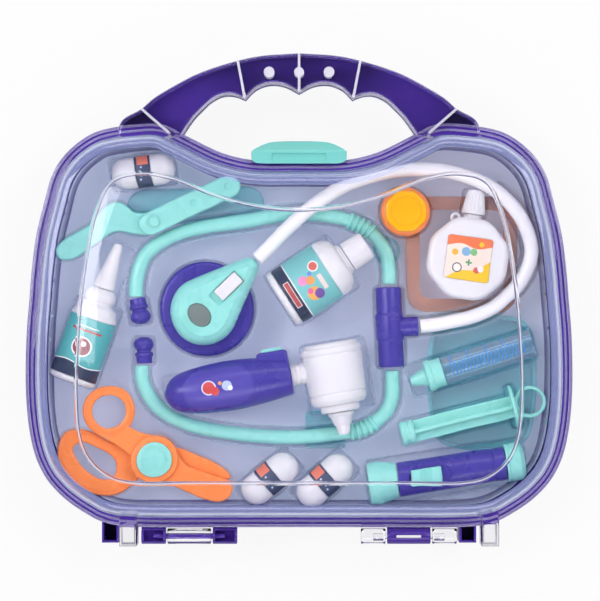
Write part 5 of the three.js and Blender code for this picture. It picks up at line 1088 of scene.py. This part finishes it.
# Torch
# Mint head and tail caps pressed on a purple barrel, with a mint slide switch in a slot of the barrel.
torch_at = (36.6, -98.6, 32.6, 8.9)
head = turned("torch_head_moulding", eased([
    (0, 0.5), (0.9, 8.8), (0.9, 9.8), (0.0, 10.2), (0.3, 10.9), (3.6, 11.5),
    (5.6, 11.6), (8.2, 10.9), (14.6, 9.4), (15.5, 8.9), (15.5, 2),
], 0.7, False), 64)
fitted(laid(head, *torch_at), "case", "torch_head", *mint_toy)
barrel = turned("torch_body_moulding", [
    (15.8, 2), (15.8, 8.8), (16.2, 9.2), (66.6, 9.1), (66.9, 8.8),
    (67.5, 8.8), (67.8, 9.1), (73.4, 9.0), (73.8, 8.6), (73.8, 2),
], 64)
worked(barrel, "DIFFERENCE", slab("slot", capsule_line(26.1, 0, 39.3, 0, 4.9), 7.49, 12))
fitted(laid(barrel, *torch_at), "case", "torch_body", *purple_toy)
switch = slab("torch_switch_moulding", eased(oblong(22.6, -4.4, 38.8, 4.4), 0.8), 7.8, 10.8, 0.8)
grips = [slab("grip", oblong(x, -5, x + 0.7, 5), 10.3, 12) for x in (27.4, 29.1, 30.8, 32.5)]
fitted(laid(worked(switch, "DIFFERENCE", *grips), *torch_at), "torch_switch", "torch_switch", *mint_toy)
tail = turned("torch_tail_moulding", eased([
    (74.1, 2), (74.1, 10.1), (75.4, 10.2), (75.7, 9.8), (76.4, 9.8), (76.7, 10.2), (81.6, 10.1),
    (83.8, 8.0), (83.8, 0.5),
], 0.35, False), 64)
fitted(laid(tail, *torch_at), "case", "torch_tail", *mint_toy)

# Syringe
# A mint nozzle on a clear barrel with blue lines printed round it; the mint plunger lies beside it.
barrel_at = (67.9, -41.3, 30.3, 17.5)
nozzle = turned("syringe_nozzle_moulding", eased([
    (-9.9, 0.6), (-9.9, 2.2), (-1.2, 4.9), (-0.9, 7.6), (-0.2, 8.4), (2.2, 8.4), (2.6, 7.7), (8.1, 7.7),
    (8.5, 7.4), (8.5, 2),
], 0.3, False), 64)
fitted(laid(nozzle, *barrel_at), "case", "syringe_nozzle", *mint_toy)
barrel_profile = [(8.8, 2), (8.8, 7.2), (9.2, 7.5), (57.4, 7.5), (57.6, 7.45), (58.8, 7.5), (58.8, 2)]
tube = worked(
    turned("syringe_barrel_moulding", barrel_profile, 64),
    "DIFFERENCE",
    turned("bore", [(9.8, 2), (9.8, 6.5), (60, 6.5), (60, 2)], 64),
)


def patterned(piece, name, sizes, material, grow, kept=True):
    """Adds repeated forms to a piece by a node tree with named sizes, and turns the result into a plain mesh."""
    tree = bpy.data.node_groups.new(name, "GeometryNodeTree")
    tree.interface.new_socket(name="Geometry", in_out="OUTPUT", socket_type="NodeSocketGeometry")
    tree.interface.new_socket(name="Geometry", in_out="INPUT", socket_type="NodeSocketGeometry")
    values = {}
    for label, value in sizes.items():
        kind = "NodeSocketInt" if isinstance(value, int) else "NodeSocketFloat"
        values[tree.interface.new_socket(name=label, in_out="INPUT", socket_type=kind).identifier] = value
    finish = tree.interface.new_socket(name="Material", in_out="INPUT", socket_type="NodeSocketMaterial")
    values[finish.identifier] = material
    given, out = add(tree, "NodeGroupInput"), add(tree, "NodeGroupOutput")
    whole = grow(tree, given.outputs)
    if kept:
        both = add(tree, "GeometryNodeJoinGeometry")
        for source in (given.outputs["Geometry"], whole):
            tree.links.new(source, both.inputs[0])
        whole = both.outputs[0]
    real = add(tree, "GeometryNodeRealizeInstances", {}, {0: whole})
    painted = add(
        tree, "GeometryNodeSetMaterial", {}, {"Geometry": real.outputs[0], "Material": given.outputs["Material"]}
    )
    tree.links.new(painted.outputs[0], out.inputs[0])
    step = piece.modifiers.new(name, "NODES")
    step.node_group = tree
    for key, value in values.items():
        step[key] = value
    piece.data = bpy.data.meshes.new_from_object(piece.evaluated_get(bpy.context.evaluated_depsgraph_get()))
    piece.modifiers.clear()
    return piece


def barrel_lines(tree, given):
    """Arcs in a row along the barrel, every fifth one full size."""
    run = add(tree, "ShaderNodeCombineXYZ", {}, {0: given["Pitch"]})
    start = add(tree, "ShaderNodeCombineXYZ", {}, {0: given["Start"]})
    row = add(
        tree,
        "GeometryNodeMeshLine",
        {},
        {"Count": given["Lines"], "Start Location": start.outputs[0], "Offset": run.outputs[0]},
    )
    index = add(tree, "GeometryNodeInputIndex")
    fifth = add(tree, "ShaderNodeMath", {"operation": "MODULO", 1: 5.0}, {0: index.outputs[0]})
    long_ones = add(tree, "ShaderNodeMath", {"operation": "LESS_THAN", 1: 0.5}, {0: fifth.outputs[0]})
    arcs = []
    for sweep in (55, 125):
        span = {"Resolution": 24, "Sweep Angle": math.radians(sweep)}
        arc = add(tree, "GeometryNodeCurveArc", span, {"Radius": given["Radius"]})
        pen = add(tree, "GeometryNodeCurvePrimitiveCircle", {"Resolution": 8}, {"Radius": given["Line Width"]})
        curves = {"Curve": arc.outputs[0], "Profile Curve": pen.outputs[0]}
        bar = add(tree, "GeometryNodeCurveToMesh", {"Fill Caps": True}, curves)
        stand = add(tree, "GeometryNodeTransform", {"Rotation": (0, -math.pi / 2, 0)}, {"Geometry": bar.outputs[0]})
        arcs.append(add(tree, "GeometryNodeGeometryToInstance", {}, {0: stand.outputs[0]}).outputs[0])
    rows = []
    for arc, chosen in zip(arcs, (False, True)):
        pick = long_ones.outputs[0] if chosen else add(
            tree, "ShaderNodeMath", {"operation": "SUBTRACT", 0: 1.0}, {1: long_ones.outputs[0]}
        ).outputs[0]
        sources = {"Points": row.outputs[0], "Selection": pick, "Instance": arc}
        rows.append(add(tree, "GeometryNodeInstanceOnPoints", {}, sources).outputs[0])
    both = add(tree, "GeometryNodeJoinGeometry")
    for source in rows:
        tree.links.new(source, both.inputs[0])
    return both.outputs[0]


# A thin film like the tray's: faintly milky, with a painted sheen where it leans.
crystal = clear_plastic(
    "moulded_clear_barrel", "#e4f5fe", 0.04, film=True, edge=1.6, waves=0.05, haze=0.12, milk_code="#c3e4f8"
)
fitted(laid(tube, *barrel_at), "case", "syringe_barrel", "clear_blue", crystal)
blue_ink = moulded("printed_blue_ink", "#2f96ee", 0.4, 9.0)
lines = patterned(
    body_of("syringe_barrel_lines", [], []),
    "barrel_lines",
    {"Lines": 21, "Start": 0.0135, "Pitch": 0.002, "Radius": 0.00752, "Line Width": 0.00022},
    blue_ink,
    barrel_lines,
    kept=False,
)
fitted(laid(lines, *barrel_at, roll=28), "case", "syringe_barrel", "clear_blue", blue_ink, 60)
plunger_at = (53.3, -72.1, 32.5, 14)
plunger = turned("syringe_plunger_moulding", eased([
    (0, 0.5), (0, 5.6), (0.9, 6.6), (2.4, 6.6), (2.6, 6.1), (4.4, 6.1), (4.6, 6.6), (6.6, 6.6), (7.4, 6.0), (7.4, 2),
], 0.3, False), 48)
fins = [slab("fin", oblong(6.4, -5.8, 62, 5.8), -1, 1, 0.25) for _ in range(2)]
laid(fins[1], 0, 0, 0, roll=90)
flange = turned("flange", eased([(61.4, 2), (61.4, 11.5), (63.2, 11.5), (63.2, 2)], 0.6, False), 64)


def flared(outline, bottom, top, edge, steps=5):
    """A tool that cuts a hole with rounded edges."""
    rings = [level(inset(outline, -edge), bottom - 1)]
    for i in range(steps + 1):
        bend = math.pi / 2 * i / steps
        rings.append(level(inset(outline, -edge * (1 - math.sin(bend))), bottom + edge * (1 - math.cos(bend))))
    return skin("hole", rings + [ring * (1, 1, -1) + (0, 0, top + bottom) for ring in rings[::-1]])


pull = slab("pull", round_line(71.3, 0, 8.6, 64), -2, 2, 0.9)
worked(plunger, "UNION", *fins, flange, pull)
worked(plunger, "DIFFERENCE", flared(round_line(71.5, 0, 6.6, 56), -2, 2, 0.8))
fitted(laid(plunger, *plunger_at), "case", "syringe_plunger", *mint_toy)

# Scissors
# Two orange halves on a rivet under a mint cap: the loop half lies below, the half with the finger ring and hub above.
hub, finger_ring = (-76.9, -85.1), (-101.4, -59.3)
hub_radius, ring_radius = 12.7, 13.6
low_level, high_level = (27.16, 30.76), (31.06, 34.66)
hub_bore = [slab("bore", round_line(*hub, 3.3), 20, 40) for _ in range(2)]
loop_hole = smooth([
    (-120.5, -79.8), (-116.2, -76.3), (-107.5, -79.0), (-100.3, -82.7), (-97.1, -88.3),
    (-98.7, -94.6), (-104.0, -96.2),
    (-112.5, -92.5), (-118.6, -85.6),
], 80)
loop_half = worked(
    slab("scissor_loop_half_moulding", loop_line, *low_level, 1.5, 6),
    "UNION",
    slab("hub", round_line(*hub, hub_radius, 64), *low_level, 0.8),
    slab("blade", eased(rear_blade, 3, True, 4), *low_level, 0.7),
)
loop_groove = flat_ring(loop_line, 1.8, 2.3, 30.4, 32)
worked(loop_half, "DIFFERENCE", loop_groove, flared(loop_hole, *low_level, 1.4), hub_bore[0])
fitted(loop_half, "case", "scissor_loop_half", *orange_toy)
front_blade = [
    (-67.4, -78.2), (-60.0, -88.8), (-37.7, -96.2), (-34.5, -98.3),
    (-36.6, -105.8), (-42.5, -108.4), (-51.5, -106.3), (-73.8, -96.2),
]
ring_neck = [
    (-91.8, -66.5), (-86.5, -70.2), (-73.8, -73.4), (-81.2, -92.0), (-87.6, -84.5), (-100.3, -75.0), (-109.8, -70.2),
]
finger_hole = round_line(*finger_ring, 8.7, 64)
ring_half = worked(
    slab("scissor_ring_half_moulding", round_line(*finger_ring, ring_radius, 80), *high_level, 1.5, 6),
    "UNION",
    slab("neck", eased(ring_neck, 4, True, 5), *high_level, 1.0),
    slab("hub", round_line(*hub, hub_radius, 72), 31.06, 37.06, 1.2, 6),
    slab("blade", eased(front_blade, 3, True, 5), *high_level, 1.1),
)
ring_groove = flat_ring(round_line(*finger_ring, ring_radius, 80), 1.6, 2.1, 34.3, 36)
worked(ring_half, "DIFFERENCE", ring_groove, flared(finger_hole, *high_level, 1.2), hub_bore[1])
fitted(ring_half, "scissor_ring_half", "scissor_ring_half", *orange_toy)
rivet = worked(
    slab("scissor_rivet_moulding", round_line(*hub, 9.4, 64), 37.36, 38.56, 0.6),
    "UNION",
    slab("shank", round_line(*hub, 3), 27.2, 38),
)
worked(rivet, "DIFFERENCE", worked(
    slab("ring", round_line(*hub, 6.9, 48), 38.2, 40), "DIFFERENCE", slab("inner", round_line(*hub, 6.0, 48), 38, 41)
))
fitted(rivet, "case", "scissor_rivet", *mint_toy)

# Forceps
# Two mint arms on one rivet: the curved one lies below, the straight one with three round dents above.
pivot, bore_radius = (-77.1, 40.5), 2.1
lower_level, upper_level = (25.76, 30.76), (31.06, 36.06)
lower_arm = worked(
    slab("forceps_lower_arm_moulding", lower_arm_line, *lower_level, 1.6, 6),
    "DIFFERENCE",
    slab("bore", round_line(*pivot, bore_radius), 20, 40),
)
fitted(lower_arm, "case", "forceps_lower_arm", *mint_toy)
upper_arm_line = capsule_line(-79.1, 39.5, -37.1, 59.8, 6.1, None, 30)
upper_arm = slab("forceps_upper_arm_moulding", upper_arm_line, *upper_level, 1.5, 6)
dents = [slab("dent", round_line(x, y, 1.8), 35.3, 38, 0.3) for x, y in ((-37.9, 59.4), (-46.9, 55.1), (-55.9, 50.8))]
seat = slab("seat", round_line(*pivot, 4.3), 35.7, 38)
worked(upper_arm, "DIFFERENCE", *dents, seat, slab("bore", round_line(*pivot, bore_radius), 20, 40))
fitted(upper_arm, "forceps_upper_arm", "forceps_upper_arm", *mint_toy)
pin = worked(
    slab("forceps_rivet_moulding", round_line(*pivot, 2.7), 36.36, 36.96, 0.25),
    "UNION",
    slab("shank", round_line(*pivot, 1.8), 25.8, 36.6),
)
fitted(pin, "case", "forceps_rivet", *mint_toy)

# Latch
# A mint clip that turns on the rear shell's ear; its lip snaps over the front flange and has a shallow thumb recess.
section = eased([
    (74.8, -10), (79.6, -10), (79.6, -5.3), (84.2, -1.1), (84.2, 1.1), (78.9, 5.7), (72.1, 5.7),
    (72.1, 2.55), (74.8, 2.55),
], 0.7, True, 4)
clip = skin("latch_moulding", [
    np.column_stack([np.full(len(section), x), inset(section, shrink)])
    for x, shrink in ((-25.2, 0.6), (-25.0, 0.25), (-24.6, 0), (24.6, 0), (25.0, 0.25), (25.2, 0.6))
])
plan = smooth(mirrored([
    (0, 84.2), (8, 84.1), (15.8, 83.4), (21.6, 81.0), (25.2, 78.4), (25.4, 75.2), (23.6, 73.0),
    (16.0, 72.0), (0, 71.9),
]), 120)
worked(clip, "INTERSECT", slab("plan", plan, -11, 8))
room = slab("room", oblong(-8.3, 73, 8.3, 81), -12, -3.7)
thumb = slab("thumb", eased(oblong(-14.6, 72.9, 14.6, 77.6), 1.2), 4.7, 9, 0.5)
worked(clip, "DIFFERENCE", room, thumb)
worked(clip, "UNION", laid(turned("pin", [(-9.5, 1.3), (9.5, 1.3)], 32), 0, *latch_pin))
mint_latch = moulded("moulded_polypropylene_mint", "#85ddd4", 0.26, 20.0, soft=0.12)
fitted(laid(clip, 0, case_shift, parting), "latch", "latch", "mint_plastic", mint_latch)

# Floor and light
# A plain pale floor under the case and soft lamps round it.
ground = body_of("floor", [(-3000, -3000, 0), (3000, -3000, 0), (3000, 3000, 0), (-3000, 3000, 0)], [(0, 1, 2, 3)])
floor_paint, tree, output = bare("matt_floor_paint")
paint = add(tree, "ShaderNodeBsdfDiffuse", {"Color": linear("#f2f2f2")})
shine = add(tree, "ShaderNodeEmission", {"Color": (1, 1, 1, 1), "Strength": 1.0})
path = add(tree, "ShaderNodeLightPath")
seen = count_of(tree, "MAXIMUM", path.outputs["Is Camera Ray"], path.outputs["Is Transmission Ray"])
share = count_of(tree, "MULTIPLY", seen, 0.9)
mixed = add(tree, "ShaderNodeMixShader", {}, {0: share, 1: paint.outputs[0], 2: shine.outputs[0]})
tree.links.new(mixed.outputs[0], output.inputs["Surface"])
ground.data.materials.append(floor_paint)
world = bpy.data.worlds.new("studio")
bpy.context.scene.world = world
world.use_nodes = True
sky = world.node_tree
height_up = add(sky, "ShaderNodeSeparateXYZ", {}, {0: add(sky, "ShaderNodeTexCoord").outputs["Generated"]})
dim = add(
    sky,
    "ShaderNodeMapRange",
    {"From Min": 0.8, "From Max": 0.97, "To Min": 0.42, "To Max": 0.03},
    {"Value": height_up.outputs[2]},
)
sky.nodes["Background"].inputs["Color"].default_value = (0.95, 0.97, 1.0, 1.0)
sky.links.new(dim.outputs[0], sky.nodes["Background"].inputs["Strength"])
for name, place, size, power in (
    ("left_softbox", (-1.02, 0.3, 1.42), (0.5, 1.1), 9.5),
    ("right_softbox", (1.05, 0.5, 1.4), (0.5, 1.1), 8.5),
    ("top_softbox", (0.1, 1.3, 1.2), (1.4, 0.4), 6),
    ("foot_softbox", (0.1, -1.1, 1.4), (1.2, 0.5), 6),
):
    lamp = bpy.data.lights.new(name, "AREA")
    lamp.shape, lamp.size, lamp.size_y, lamp.energy = "RECTANGLE", size[0], size[1], power
    stand = bpy.data.objects.new(name, lamp)
    stand.location = place
    stand.rotation_euler = (-Vector(place)).to_track_quat("-Z", "Y").to_euler()
    bpy.context.scene.collection.objects.link(stand)
bpy.context.scene.view_settings.view_transform = "Standard"
